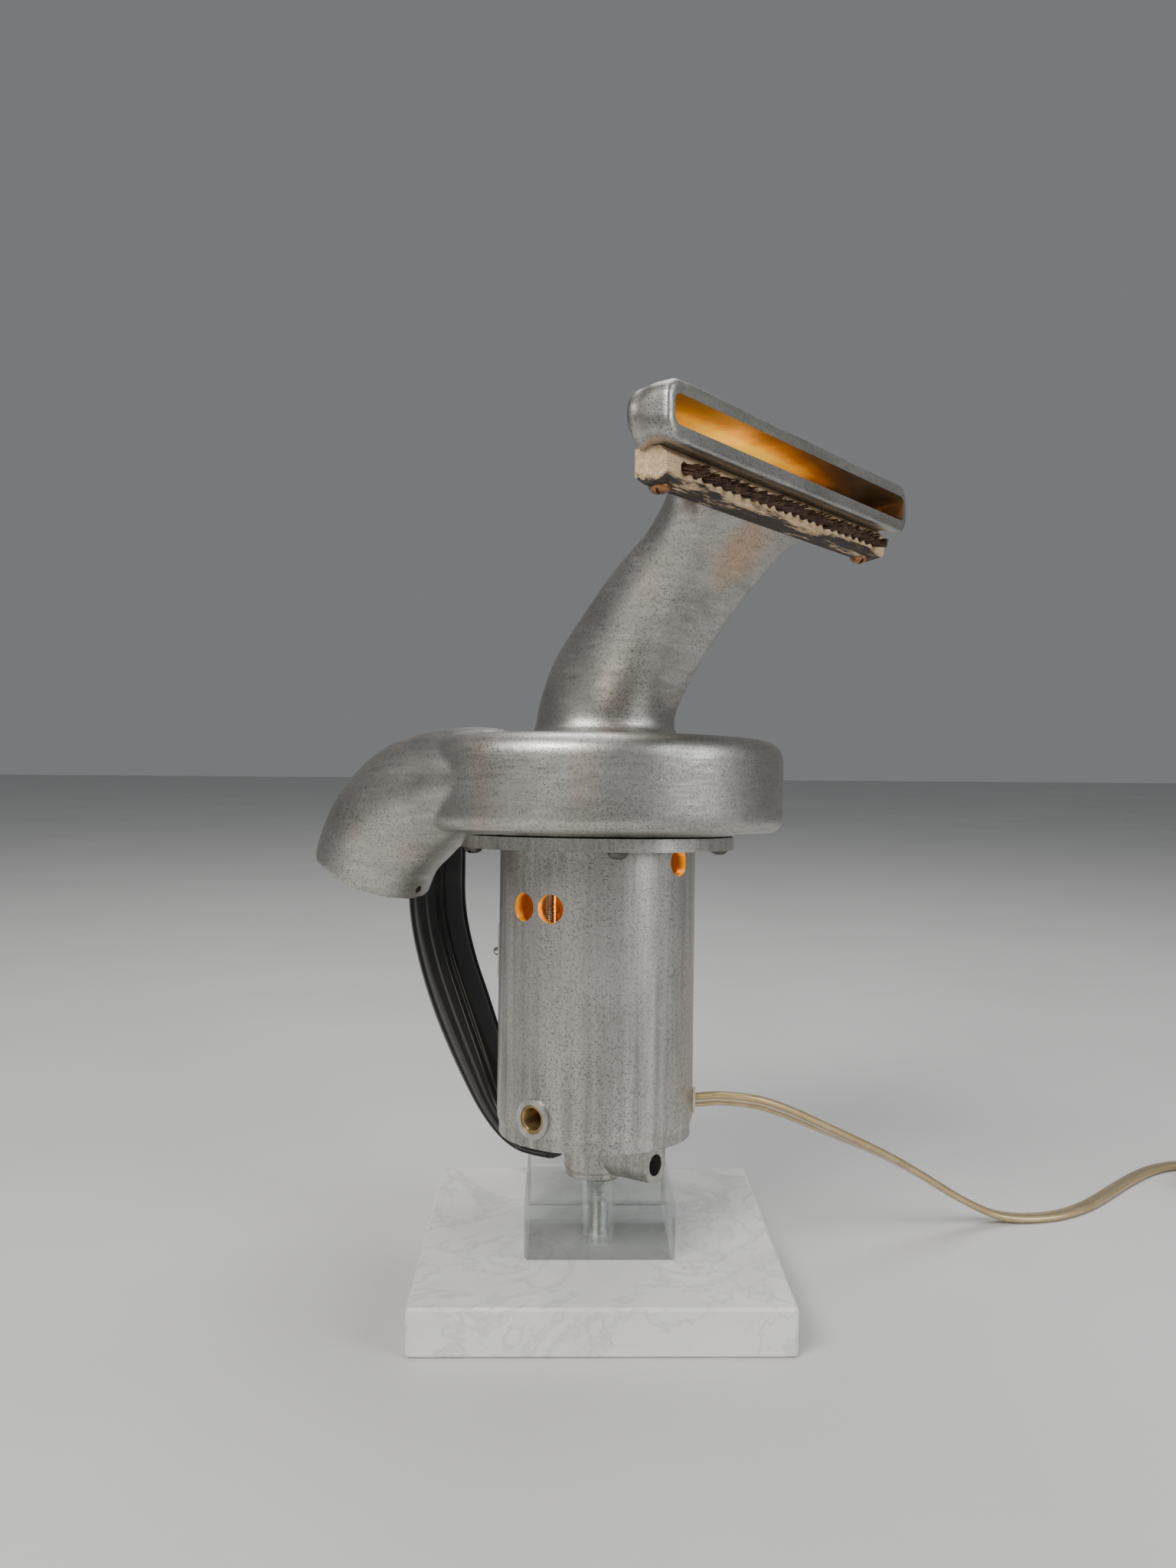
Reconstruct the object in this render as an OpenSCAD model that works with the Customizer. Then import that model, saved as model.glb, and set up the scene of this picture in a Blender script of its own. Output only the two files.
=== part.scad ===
// Table lamp made from a cast aluminium hand vacuum cleaner, standing on a
// glass block and a marble plate. Millimetres, +Z up. The origin is the centre
// of the marble plate's underside. The camera side of the lamp is -Y.
//
// The vacuum cleaner has its own frame: its motor axis is z', the nozzle faces
// -y' and the handle is at +y'. on_body() places that frame on the stand.

/* [Stand] */
// Side of the square marble plate
plate_w = 152.4; // [130:0.2:200]
// Thickness of the marble plate
plate_t = 20; // [16:0.5:30]
// Chamfer along the edges of the plate
plate_edge = 1.2; // [0.5:0.1:3]
// Side of the square glass block
block_w = 63.5; // [50:0.5:90]
// Height of the glass block
block_h = 25.4; // [18:0.2:40]
// Polished bevel along the edges of the block
block_edge = 1.5; // [0.5:0.1:3]
// How far the block stands in front of the plate's centre
block_forward = 2; // [0:0.5:6]
// Hole through the glass block
block_hole_d = 14; // [12:0.5:16]

/* [Threaded rod and its nuts] */
// Outside of the hollow threaded rod
rod_d = 10.2; // [9:0.1:11]
// Wire way through the rod
rod_bore_d = 6.4; // [4:0.1:7]
// Room round the rod in the parts that it passes through, on the diameter
rod_play = 0.6; // [0.2:0.1:1.5]
// Width across the flats of the nuts on the rod
nut_af = 17.5; // [15:0.5:20]
// Thickness of the nuts on the rod
nut_t = 5; // [3:0.5:7]
// Outside of the flat washers on the rod
washer_d = 22; // [20:0.5:24]
// Thickness of the flat washers
washer_t = 1.4; // [1:0.1:2.5]
// Outside of the domed seat between glass and casting
seat_d = 19; // [17:0.5:22]
// Height of the domed seat at its middle
seat_h = 3.2; // [2.4:0.1:4.5]

/* [How the cleaner stands] */
// Turn of the cleaner about the vertical
body_turn = 52; // [0:1:90]
// Lean of the cleaner, away from the front
body_lean = 4.2; // [0:0.1:6]
// Lean of the cleaner, to the right
body_tip = 0.3; // [0:0.1:2]
// Offset of the cleaner's axis from the rod, to the left
body_left = 2; // [0:0.1:2.2]
// Offset of the cleaner's axis from the rod, to the front
body_front = 2; // [0:0.1:2.5]

/* [Motor housing] */
// Outside of the motor housing
motor_d = 86; // [80:0.5:100]
// Wall of the motor housing
motor_wall = 4; // [3:0.5:5]
// Level of the housing's underside above the boss end
motor_z0 = 19; // [17:0.5:24]
// Level of the underside of the housing's top flange
flange_z0 = 143.4; // [136:0.2:165]
// Thickness of the top flange
flange_t = 5.4; // [4:0.2:9]
// Outside of the top flange
flange_d = 120; // [112:1:140]
// Thickness of the housing's floor
floor_t = 6; // [5:0.5:9]
// Radius of the housing's lower corner
motor_round = 9; // [6:0.5:9]
// Outside of the mounting boss
boss_d = 26; // [24:0.5:30]
// Diameter of the round vents
vent_d = 12; // [8:0.5:13]
// Level of the pair of side vents
vent_z = 119; // [112:0.5:122]
// Angle of each side vent from the brush port
vent_angle = 9.6; // [9:0.2:14]
// Level of the front vents
high_vent_z = 138.4; // [126:0.2:140]
// Level of the brush ports
port_z = 31.5; // [30:0.5:36]
// Outside of the brush port rings
port_ring_d = 16.6; // [14:0.2:18]
// Outside of the brass brush tubes
port_tube_d = 12; // [11:0.2:13]
// Bore of the brass brush tubes
port_bore_d = 9.6; // [8:0.2:10]
// Length of the brass brush tubes
port_tube_l = 15; // [12:0.5:20]
// Diameter of the threaded hole in the front lug
lug_hole_d = 9.2; // [8:0.2:11]
// Distance from the axis to the end of the front lug
lug_reach = 32.5; // [28:0.5:38]
// Diameter of the motor studs
stud_d = 4.8; // [4:0.1:6]
// Distance from the housing's inside wall to each motor stud
stud_inset = 5.7; // [5:0.1:7]

/* [Fan housing] */
// Outside of the fan housing
fan_d = 162; // [156:1:190]
// Height of the fan housing
fan_h = 42; // [38:0.5:55]
// Step between the fan housing's shoulder and its seat on the flange
fan_step = 2.2; // [1:0.2:4]
// Wall of the castings
cast_wall = 4.5; // [3.5:0.5:6]
// Radius of the fan housing's top shoulder
shoulder_top = 9; // [6:0.5:12]
// Radius of the fan housing's lower shoulder
shoulder_low = 6; // [5:0.5:8]
// Circle of the four screws that hold the fan housing
screw_ring_d = 110; // [106:1:112]
// Head of the round-head screws
screw_head_d = 8.5; // [7:0.5:9]
// Shank of the round-head screws
screw_d = 4.8; // [4:0.1:5.5]

/* [Nozzle] */
// Width of the mouth
mouth_w = 192; // [170:1:220]
// Height of the mouth
mouth_h = 22; // [18:0.5:30]
// Distance from the motor axis to the mouth
mouth_reach = 101.5; // [96:0.5:115]
// Level of the middle of the mouth
mouth_z = 297.5; // [290:0.5:310]
// Turn of the nozzle about the motor axis, out of line with the handle
nozzle_turn = 1; // [0:0.5:3]
// Outside of the neck at its root
neck_d = 61; // [56:0.5:66]

/* [Brush] */
// Distance from each end of the mouth to the end of the wooden brush bar
bar_end = 9; // [4:0.5:14]
// Number of bristle tufts
tufts = 24; // [16:1:28]
// Diameter of a bristle tuft
tuft_d = 5; // [3:0.5:6]
// How far the bristles stand out of the bar
bristle_l = 6.5; // [4:0.5:12]

/* [Handle] */
// Width of the grip
grip_w = 27; // [22:0.5:30]
// Thickness of the grip
grip_t = 21.4; // [17:0.2:23]

/* [Switch] */
// Width of the switch plate
plate_sw_w = 36; // [32:1:40]
// Height of the switch plate
plate_sw_h = 24.6; // [22:0.2:30]
// Thickness of the switch plate
plate_sw_t = 0.9; // [0.6:0.1:1.5]
// Level of the middle of the switch plate
switch_z = 96; // [90:1:98]
// Length of the toggle lever outside its pivot
lever_l = 15.5; // [12:0.5:17]
// Angle of the lever to each side of the middle
lever_swing = 13; // [8:1:15]

/* [Socket and bulb] */
// Outside of the socket shell
socket_d = 32; // [30:0.5:34]
// Outside of the tubular bulb
bulb_d = 30; // [26:0.5:32]
// Length of the bulb's glass
bulb_l = 78; // [60:1:82]

/* [Cord] */
// Width of the flat cord
cord_w = 7.2; // [6:0.1:8]
// Thickness of the flat cord
cord_t = 3.6; // [3:0.1:4]
// Hole in the housing for the cord's bushing
cord_hole_d = 10.4; // [10:0.2:12]
// Radius of the coil at the middle of its turns
coil_r = 39; // [37:0.5:42]
// Length of the plug body
plug_l = 30; // [26:1:36]

/* [Hidden] */
$fn = 64;
e = 0.01;

// Levels of the stand
block_z = plate_t + block_h;
sink_d = washer_d + 3;
sink_h = 10;
// The boss end stands just clear of the glass, on the domed seat
boss_gap = 1.6;
pivot_z = block_z + boss_gap;

// Levels of the cleaner, in its own frame
motor_r = motor_d / 2;
motor_in_r = motor_r - motor_wall;
stud_r = motor_in_r - stud_inset;
vent_cut = motor_wall + 5.5;
floor_z = motor_z0 + floor_t;
fan_z0 = flange_z0 + flange_t;
fan_z1 = fan_z0 + fan_h;
fan_r = fan_d / 2;
fan_mid_z = (fan_z0 + fan_z1) / 2;
screw_r = screw_ring_d / 2;
screw_hole_d = screw_d + 0.3;
fan_floor = fan_z0 + fan_step + cast_wall;
screw_grip = fan_step + cast_wall - 1.5;
// Ear of the fan housing, over the top of the handle
ear_y = 110;
ear_w = 32;
ear_t = 9;
ear_z = fan_z0 + fan_step;
ledge_z0 = port_z + port_ring_d / 2 + 5;
ledge_z1 = ledge_z0 + 16;

// Height of the inside spot face, level with the ground
spot_z = pivot_z + floor_z - 1.1;
spot_d = washer_d + 1.6;
socket_z = spot_z + washer_t + nut_t + 2.5;

module on_body() {
    translate([-body_left, -block_forward - body_front, pivot_z])
        rotate([-body_lean, 0, 0]) rotate([0, body_tip, 0]) rotate([0, 0, body_turn])
            children();
}

// The nozzle and its brush have a small turn of their own
module on_nozzle() { rotate([0, 0, -nozzle_turn]) children(); }

module on_rod(z = 0) {
    translate([0, -block_forward, z]) children();
}

module tube(h, od, id) {
    difference() {
        cylinder(h = h, d = od);
        translate([0, 0, -1]) cylinder(h = h + 2, d = id);
    }
}

module hex_nut(h, af, id) {
    difference() {
        cylinder(h = h, d = af / cos(30), $fn = 6);
        translate([0, 0, -1]) cylinder(h = h + 2, d = id);
    }
}

// A box with chamfered edges, standing on z = 0
module chamfered_box(w, h, c) {
    module side(turn) {
        rotate([90, 0, turn])
            translate([0, 0, -w])
                linear_extrude(2 * w)
                    polygon([[-w / 2 + c, 0], [w / 2 - c, 0], [w / 2, c], [w / 2, h - c],
                             [w / 2 - c, h], [-w / 2 + c, h], [-w / 2, h - c], [-w / 2, c]]);
    }
    intersection() {
        linear_extrude(h)
            polygon([[-w / 2 + c, -w / 2], [w / 2 - c, -w / 2], [w / 2, -w / 2 + c],
                     [w / 2, w / 2 - c], [w / 2 - c, w / 2], [-w / 2 + c, w / 2],
                     [-w / 2, w / 2 - c], [-w / 2, -w / 2 + c]]);
        side(0);
        side(90);
    }
}

// Half profile of a round box: radius r, from z0 to z1, with its two outer corners rounded
module round_profile(r, z0, z1, low, top) {
    translate([0, z0 + low]) square([r, z1 - z0 - low - top]);
    translate([0, z0]) square([r - low, z1 - z0]);
    translate([0, z0]) square([r - top, z1 - z0]);
    translate([r - low, z0 + low]) intersection() {
        circle(low);
        translate([0, -low]) square([low, 2 * low]);
    }
    translate([r - top, z1 - top]) intersection() {
        circle(top);
        translate([0, -top]) square([top, 2 * top]);
    }
}

module round_box(r, z0, z1, low, top) {
    rotate_extrude() intersection() {
        round_profile(r, z0, z1, low, top);
        translate([0, z0]) square([r, z1 - z0]);
    }
}

// A round-head screw along +z: the head's flat underside is at z = 0, the shank goes up
module round_screw(shank_l, head_d = screw_head_d, d = screw_d) {
    cylinder(h = shank_l, d = d);
    intersection() {
        translate([0, 0, head_d * 0.18]) sphere(d = head_d * 1.15);
        translate([0, 0, -head_d * 0.38]) cylinder(h = head_d * 0.38, d = head_d);
    }
}

// Swept shells. A station is [y, z, angle, half width, half thickness]: a slot-shaped
// section about that point, where the sweep heads angle degrees from +z towards -y.
function blend(a, b, c, d, t) =
    0.5 * (2 * b + (c - a) * t + (2 * a - 5 * b + 4 * c - d) * t * t
           + (3 * b - a - 3 * c + d) * t * t * t);
function at(s, i) = s[max(0, min(len(s) - 1, i))];
function smooth(s, steps) = [
    for (i = [0 : len(s) - 2]) for (k = [0 : steps - 1])
        blend(at(s, i - 1), at(s, i), at(s, i + 1), at(s, i + 2), k / steps),
    s[len(s) - 1]
];
function slot_ring(s, x, n) = [
    for (k = [0 : n - 1])
        let (q = 360 * (k + 0.5) / n, a = max(s[3], s[4]), r = min(s[3], s[4]),
             wide = s[3] >= s[4],
             u = (wide ? sign(cos(q)) * (a - r) : 0) + r * cos(q),
             v = (wide ? 0 : sign(sin(q)) * (a - r)) + r * sin(q))
            [x + u, s[0] + v * cos(s[2]), s[1] + v * sin(s[2])]
];
module skin(rings) {
    n = len(rings[0]);
    m = len(rings);
    polyhedron(
        points = [for (r = rings) for (p = r) p],
        faces = concat(
            [[for (k = [0 : n - 1]) k]],
            [for (i = [0 : m - 2]) for (k = [0 : n - 1])
                [i * n + k, (i + 1) * n + k, (i + 1) * n + (k + 1) % n]],
            [for (i = [0 : m - 2]) for (k = [0 : n - 1])
                [i * n + k, (i + 1) * n + (k + 1) % n, i * n + (k + 1) % n]],
            [[for (k = [0 : n - 1]) (m - 1) * n + n - 1 - k]]),
        convexity = 6);
}
module sweep(stations, x, sides, steps) {
    skin([for (s = smooth(stations, steps)) slot_ring(s, x, sides)]);
}
// The same stations with a wall taken off, and run past the open end
function inside(s, wall, end_wall, past) = concat(
    [for (i = [0 : len(s) - 1]) [s[i][0], s[i][1], s[i][2], s[i][3] - end_wall, s[i][4] - wall]],
    [let (l = s[len(s) - 1])
        [l[0] - past * sin(l[2]), l[1] + past * cos(l[2]), l[2], l[3] - end_wall, l[4] - wall]]
);

// Horn: leaves the fan housing along +y' and turns down. Its angles run from -90
// (heading +y') past -155 (heading down).
horn_x = -(fan_r - 24);
horn_r = 26.2;
horn = [
    [8, fan_mid_z + 1.9, -90, 23, 21.4],
    [24, fan_mid_z + 1.9, -90, 24, 22.3],
    [49.6, fan_mid_z - 4.4, -110, 26.6, 26.6],
    [66, fan_mid_z - 14.6, -134, horn_r + 1.4, horn_r + 1.4],
    [76.8, fan_mid_z - 26.5, -149, horn_r + 0.6, horn_r + 0.6],
    [82.6, fan_mid_z - 39, -155, horn_r, horn_r]
];
horn_end = horn[len(horn) - 1];
horn_hole_d = 3.5;

// Nozzle: rises from the fan housing, bends to -y' and widens into the mouth
neck_r = neck_d / 2;
mouth_a = mouth_w / 2;
bar_l = mouth_w - 2 * bar_end;
mouth_b = mouth_h / 2;
// The rim of the mouth stands this far below its chamber
lip = 1;
nozzle = [
    [-3.5, fan_z1 - 6, 0, neck_r + 4.5, neck_r + 4.5],
    [-3.5, fan_z1 + 0.5, 0, neck_r + 4, neck_r + 4],
    [-3.6, fan_z1 + 4, 2, neck_r + 0.8, neck_r + 0.8],
    [-4.2, fan_z1 + 12, 10, neck_r - 0.4, neck_r - 0.8],
    [-9.6, fan_z1 + 25, 28, neck_r - 0.6, neck_r - 3],
    [-21.5, fan_z1 + 41, 38, 31.2, 22.5],
    [-38.8, fan_z1 + 61, 41, 34.6, 16],
    [-56.5, fan_z1 + 77.5, 43, 37, 11.5],
    [-70, mouth_z - 14, 50, 46, 10.5],
    [-77.5, mouth_z - 5.5, 64, mouth_a - 16, 10.5],
    [-83, mouth_z - 1, 82, mouth_a - 1, mouth_b],
    [-88, mouth_z + lip / 2, 90, mouth_a, mouth_b - lip / 2],
    [-mouth_reach + 6, mouth_z + lip / 2, 90, mouth_a, mouth_b - lip / 2],
    [-mouth_reach + 4.5, mouth_z, 90, mouth_a, mouth_b],
    [-mouth_reach, mouth_z, 90, mouth_a, mouth_b]
];
// Wall of the mouth above and below its slot, and at the slot's two ends
mouth_wall = 5.6;
mouth_end_wall = 3.5;

module marble_base() {
    color("whitesmoke") difference() {
        chamfered_box(plate_w, plate_t, plate_edge);
        on_rod(-1) cylinder(h = plate_t + 2, d = rod_d + rod_play);
        on_rod(-1) cylinder(h = sink_h + 1, d = sink_d);
    }
}

module glass_block() {
    color([0.8, 0.9, 0.88, 0.4]) on_rod(plate_t) difference() {
        chamfered_box(block_w, block_h, block_edge);
        translate([0, 0, -1]) cylinder(h = block_h + 2, d = block_hole_d);
    }
}

module base_rod() {
    color("goldenrod") on_rod(sink_h - washer_t - nut_t - 1)
        tube(socket_z + 8 - (sink_h - washer_t - nut_t - 1), rod_d, rod_bore_d);
}

module base_washer() {
    color("silver") on_rod(sink_h - washer_t) tube(washer_t, washer_d, rod_d + 0.2);
}

module base_nut() {
    color("silver") on_rod(sink_h - washer_t - nut_t) hex_nut(nut_t, nut_af, rod_d);
}

// A felt disc closes the counterbore, level with the underside
felt_t = 2;
module sink_cover() {
    color("darkslategray") on_rod() cylinder(h = felt_t, d = sink_d);
}

// The dome lets the leaning casting seat square on the level glass
seat_r = 16;
module seat_ball(z) { on_rod(z + seat_h - seat_r) sphere(r = seat_r, $fn = 96); }
module seat_washer() {
    color("gainsboro") difference() {
        intersection() {
            on_rod(block_z) cylinder(h = seat_h + 1, d = seat_d);
            seat_ball(block_z);
        }
        on_rod(block_z - 1) cylinder(h = seat_h + 3, d = rod_d + 0.2);
    }
}

module inner_washer() {
    color("silver") on_rod(spot_z) tube(washer_t, washer_d, rod_d + 0.2);
}

module inner_nut() {
    color("silver") on_rod(spot_z + washer_t) hex_nut(nut_t, nut_af, rod_d);
}

// Something at a radius and level, facing out at an angle from x'
module radial(angle, z, r = 0) {
    rotate([0, 0, angle]) translate([r, 0, z]) rotate([0, 90, 0]) children();
}

// The cord leaves through the wall, to the right
cord_exit = [motor_r - 1.8, -5.3, 80];
module on_cord_exit() { translate(cord_exit) rotate([0, 0, -5]) rotate([0, 90, 0]) children(); }

lug_z = 9;
lug_w = 15.5;
rear_lug_y = motor_r - 5;
rear_lug_z0 = 9;
handle_screw_d = 4;
switch_hole_d = 8.4;
// The switch plate sits on a flat of the housing
flat_cut = 1.8;
plate_y = motor_r - flat_cut;
plate_screw_x = plate_sw_w / 2 - 4;
plate_pad_y = sqrt(pow(motor_r, 2) - pow(plate_screw_x, 2)) - 1;
module motor_housing() {
    color("darkgray") difference() {
        on_body() difference() {
            union() {
                round_box(motor_r, motor_z0, flange_z0 + 1, motor_round, 1);
                translate([0, 0, flange_z0]) cylinder(h = flange_t, d = flange_d, $fn = 96);
                round_box(boss_d / 2, 0, motor_z0 + 1, 4, 0.5);
                // Front lug, a block as wide as its round end
                radial(-90, lug_z) cylinder(h = lug_reach, d = lug_w);
                translate([-lug_w / 2, -lug_reach, lug_z]) cube([lug_w, lug_reach, motor_z0 - lug_z + 1]);
                // Rear lug, over the foot of the handle
                translate([-7, 0, rear_lug_z0]) cube([14, rear_lug_y - 6, motor_z0 - rear_lug_z0 + 1]);
                // Pads under the ends of the switch plate
                for (s = [-1, 1]) translate([s * plate_screw_x, plate_pad_y - 3, switch_z])
                    rotate([-90, 0, 0]) cylinder(h = plate_y - plate_pad_y + 3, d = 7);
            }
            difference() {
                round_box(motor_in_r, floor_z, fan_z0 + 2, 5, 0.5);
                // Ledges that carry the motor studs
                for (s = [-1, 1]) intersection() {
                    union() {
                        translate([s * stud_r, 0, ledge_z0]) cylinder(h = ledge_z1 - ledge_z0, d = 11);
                        translate([s > 0 ? stud_r : -motor_r, -5.5, ledge_z0])
                            cube([motor_r - stud_r, 11, ledge_z1 - ledge_z0]);
                    }
                    cylinder(h = fan_z0, r = motor_r - 1);
                }
            }
            for (s = [-1, 1]) {
                translate([s * stud_r, 0, ledge_z0 - 1]) cylinder(h = 18, d = stud_d);
                radial(90 - s * 90, port_z, motor_in_r - 6) cylinder(h = 20, d = port_tube_d);
                radial(90 - s * 90, port_z, motor_r - 1.2) cylinder(h = 20, d = port_ring_d);
                for (t = [-1, 1])
                    radial(90 - s * 90 + t * vent_angle, vent_z, motor_in_r - 4)
                        cylinder(h = vent_cut, d = vent_d);
            }
            radial(-90, high_vent_z, motor_in_r - 4) cylinder(h = vent_cut, d = vent_d);
            radial(-90, lug_z, 8) cylinder(h = lug_reach, d = lug_hole_d);
            translate([0, rear_lug_y - 11, rear_lug_z0 - 1]) cylinder(h = 8, d = handle_screw_d);
            for (a = [45 : 90 : 315])
                rotate([0, 0, a]) translate([screw_r, 0, flange_z0 - 1])
                    cylinder(h = flange_t + 2, d = screw_hole_d);
            translate([-motor_r, plate_y, switch_z - plate_sw_h / 2 - 1])
                cube([2 * motor_r, 20, plate_sw_h + 2]);
            translate([0, motor_in_r - 4, switch_z]) rotate([-90, 0, 0])
                cylinder(h = 12, d = switch_hole_d);
            for (s = [-1, 1]) translate([s * plate_screw_x, plate_y - 5, switch_z])
                rotate([-90, 0, 0]) cylinder(h = 8, d = 3);
        }
        on_rod(block_z) cylinder(h = 60, d = rod_d + rod_play);
        seat_ball(block_z);
        on_rod(spot_z) cylinder(h = 20, d = spot_d);
        on_cord_exit() translate([0, 0, -14]) cylinder(h = 30, d = cord_hole_d);
    }
}

module flange_screws() {
    color("dimgray") on_body() for (a = [45 : 90 : 315])
        rotate([0, 0, a]) translate([screw_r, 0, flange_z0]) round_screw(flange_t + screw_grip);
}

module fan_housing() {
    color("darkgray") on_body() difference() {
        union() {
            round_box(fan_r, fan_z0 + fan_step, fan_z1, shoulder_low, shoulder_top);
            translate([0, 0, fan_z0]) cylinder(h = fan_step + 1, d = flange_d, $fn = 96);
            sweep(horn, horn_x, 28, 3);
            on_nozzle() sweep(nozzle, 0, 40, 2);
            // Ear that carries the top of the handle
            translate([-ear_w / 2, 62, ear_z]) cube([ear_w, ear_y - ear_w / 2 - 62, ear_t]);
            translate([0, ear_y - ear_w / 2, ear_z]) cylinder(h = ear_t, d = ear_w);
        }
        round_box(fan_r - cast_wall, fan_floor, fan_z1 - cast_wall,
                  shoulder_low - 2, shoulder_top - cast_wall);
        translate([0, 0, fan_z0 - 1]) cylinder(h = fan_floor - fan_z0 + 2, r = motor_in_r);
        sweep(inside(horn, cast_wall, cast_wall, 4), horn_x, 28, 3);
        on_nozzle() {
            sweep(inside(nozzle, mouth_wall, mouth_end_wall, 4), 0, 40, 2);
            // Seat of the brush bar, and the holes for its screws
            translate([-bar_l / 2 - 0.5, -bar_face_y - 0.5, bar_z1 - 20])
                cube([bar_l + 1, bar_face_y - bar_y + 0.5, 20]);
            for (s = [-1, 1]) translate([s * bar_screw_x, -bar_y - 5, bar_z1 - 1])
                cylinder(h = bar_screw_grip + 1, d = bar_screw_d);
        }
        for (a = [45 : 90 : 315])
            rotate([0, 0, a]) translate([screw_r, 0, fan_z0 - 1])
                cylinder(h = screw_grip + 1.2, d = screw_d + 0.1);
        // Room for the edge of the flange under the horn
        translate([0, 0, fan_z0 - 20]) cylinder(h = 20, d = flange_d + 1);
        translate([0, ear_y - ear_w / 2, ear_z - 1]) cylinder(h = ear_t + 2, d = handle_screw_d + 0.4);
        translate([horn_x + 3, horn_end[0], horn_end[1]]) rotate([horn_end[2], 0, 0])
            translate([0, horn_r - 8, -5]) rotate([-90, 0, 0]) cylinder(h = 16, d = horn_hole_d);
    }
}

module port_rings() {
    color("slategray") on_body() for (s = [-1, 1])
        radial(90 - s * 90, port_z, motor_r - 1.2) difference() {
            cylinder(h = 2, d = port_ring_d);
            translate([0, 0, -1]) cylinder(h = 4, d = port_tube_d);
        }
}

module port_tubes() {
    color("goldenrod") on_body() for (s = [-1, 1])
        radial(90 - s * 90, port_z, motor_r - port_tube_l + 0.3) tube(port_tube_l, port_tube_d, port_bore_d);
}

stud_z1 = flange_z0 - 3;
module motor_studs() {
    color("silver") on_body() for (s = [-1, 1])
        translate([s * stud_r, 0, ledge_z0 - 1]) cylinder(h = stud_z1 - ledge_z0 + 1, d = stud_d);
}

module stud_nuts() {
    color("silver") on_body() for (s = [-1, 1])
        translate([s * stud_r, 0, ledge_z1]) hex_nut(3.5, 8.5, stud_d);
}

// Section of the brush bar in the plane of y' and z'
bar_y = mouth_reach - 20.5;
bar_z1 = mouth_z - mouth_b + lip;
bar_face_y = bar_y + 13.5;
bar_mid_z = bar_z1 - 6.5;
bar_screw_x = bar_l / 2 - 8;
bar_screw_d = 3.4;
bar_screw_grip = 3.4;
// Head of the brush screws, and how far below the bar's top their spot faces lie
bar_head_d = 8;
bar_seat = 12;
module bar_section() {
    polygon([[-bar_y, bar_z1], [-bar_y, bar_z1 - 10], [-bar_y - 4, bar_z1 - 13],
             [-bar_face_y + 1, bar_z1 - 11.5], [-bar_face_y, bar_z1 - 10.5],
             [-bar_face_y, bar_z1 - 3], [-bar_face_y + 3, bar_z1]]);
}
module brush_bar() {
    color("burlywood") on_body() on_nozzle() difference() {
        translate([-bar_l / 2, 0, 0]) rotate([90, 0, 90]) linear_extrude(bar_l) bar_section();
        for (s = [-1, 1]) translate([s * bar_screw_x, -bar_y - 5, bar_z1 - 20])
            cylinder(h = 30, d = bar_screw_d);
        for (s = [-1, 1]) translate([s * bar_screw_x, -bar_y - 5, bar_z1 - bar_seat - 10])
            cylinder(h = 10, d = bar_head_d + 0.6);
        for (i = [0 : tufts - 1]) translate([tuft_x(i), -bar_face_y - 1, bar_mid_z])
            rotate([-90, 0, 0]) cylinder(h = 6, d = tuft_d);
    }
}
function tuft_x(i) = (i - (tufts - 1) / 2) * (bar_l - 16) / tufts;

module brush_bristles() {
    color("#2a1a14") on_body() on_nozzle() for (i = [0 : tufts - 1])
        translate([tuft_x(i), -bar_face_y + 5, bar_mid_z]) rotate([90, 0, 0])
            cylinder(h = bristle_l + 5, d = tuft_d);
}

module brush_screws() {
    color("peru") on_body() on_nozzle() for (s = [-1, 1])
        translate([s * bar_screw_x, -bar_y - 5, bar_z1 - bar_seat])
            round_screw(bar_seat + bar_screw_grip, bar_head_d, bar_screw_d);
}

// Handle: from its foot under the rear lug up to the ear of the fan housing
grip_a = grip_w / 2;
grip_b = grip_t / 2;
foot_t = 3;
handle_line = [
    [rear_lug_y - 17, rear_lug_z0 - foot_t, -90, 7, foot_t],
    [rear_lug_y - 6, rear_lug_z0 - foot_t, -88, 7.5, foot_t],
    [rear_lug_y + 1.5, rear_lug_z0 - 1, -66, 8.5, 3.8],
    [motor_r + 4.6, 14, -44, 9.8, 5.4],
    [motor_r + 13, 24, -37, 11, 7],
    [motor_r + 21, 37.5, -31, 12.2, 8.8],
    [motor_r + 29.3, 52, -28, grip_a - 0.5, grip_b - 0.7],
    [motor_r + 37.3, 67, -26, grip_a, grip_b],
    [ear_y - 22, 83, -22, grip_a, grip_b],
    [ear_y - 16, 100, -13, grip_a, grip_b],
    [ear_y - 13.2, 115, -6, grip_a, grip_b],
    [ear_y - 12.8, 132, 0, grip_a, grip_b],
    [ear_y - 12.8, ear_z, 0, grip_a, grip_b]
];
module handle() {
    color("#141210") on_body() difference() {
        sweep(handle_line, 0, 24, 2);
        translate([0, rear_lug_y - 11, rear_lug_z0 - 8]) cylinder(h = 10, d = handle_screw_d + 0.4);
        translate([0, rear_lug_y - 11, rear_lug_z0 - 2 * foot_t - 1]) cylinder(h = 3, d = 7.4);
        translate([0, ear_y - ear_w / 2, ear_z - 14]) cylinder(h = 16, d = handle_screw_d);
    }
}

module handle_screws() {
    color("dimgray") on_body() {
        translate([0, rear_lug_y - 11, rear_lug_z0 - 2 * foot_t]) {
            cylinder(h = 2, d = 7);
            cylinder(h = 2 * foot_t + 6, d = handle_screw_d);
        }
        translate([0, ear_y - ear_w / 2, ear_z + ear_t]) rotate([180, 0, 0])
            round_screw(ear_t + 12, 8, handle_screw_d);
    }
}

// Switch: everything is in line with +y' through the middle of the plate
pivot_y = plate_y + 3.2;
ball_d = 4.6;
lever_d = 4;
pin_d = 1.6;
module on_switch(y) { translate([0, y, switch_z]) rotate([-90, 0, 0]) children(); }
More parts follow.
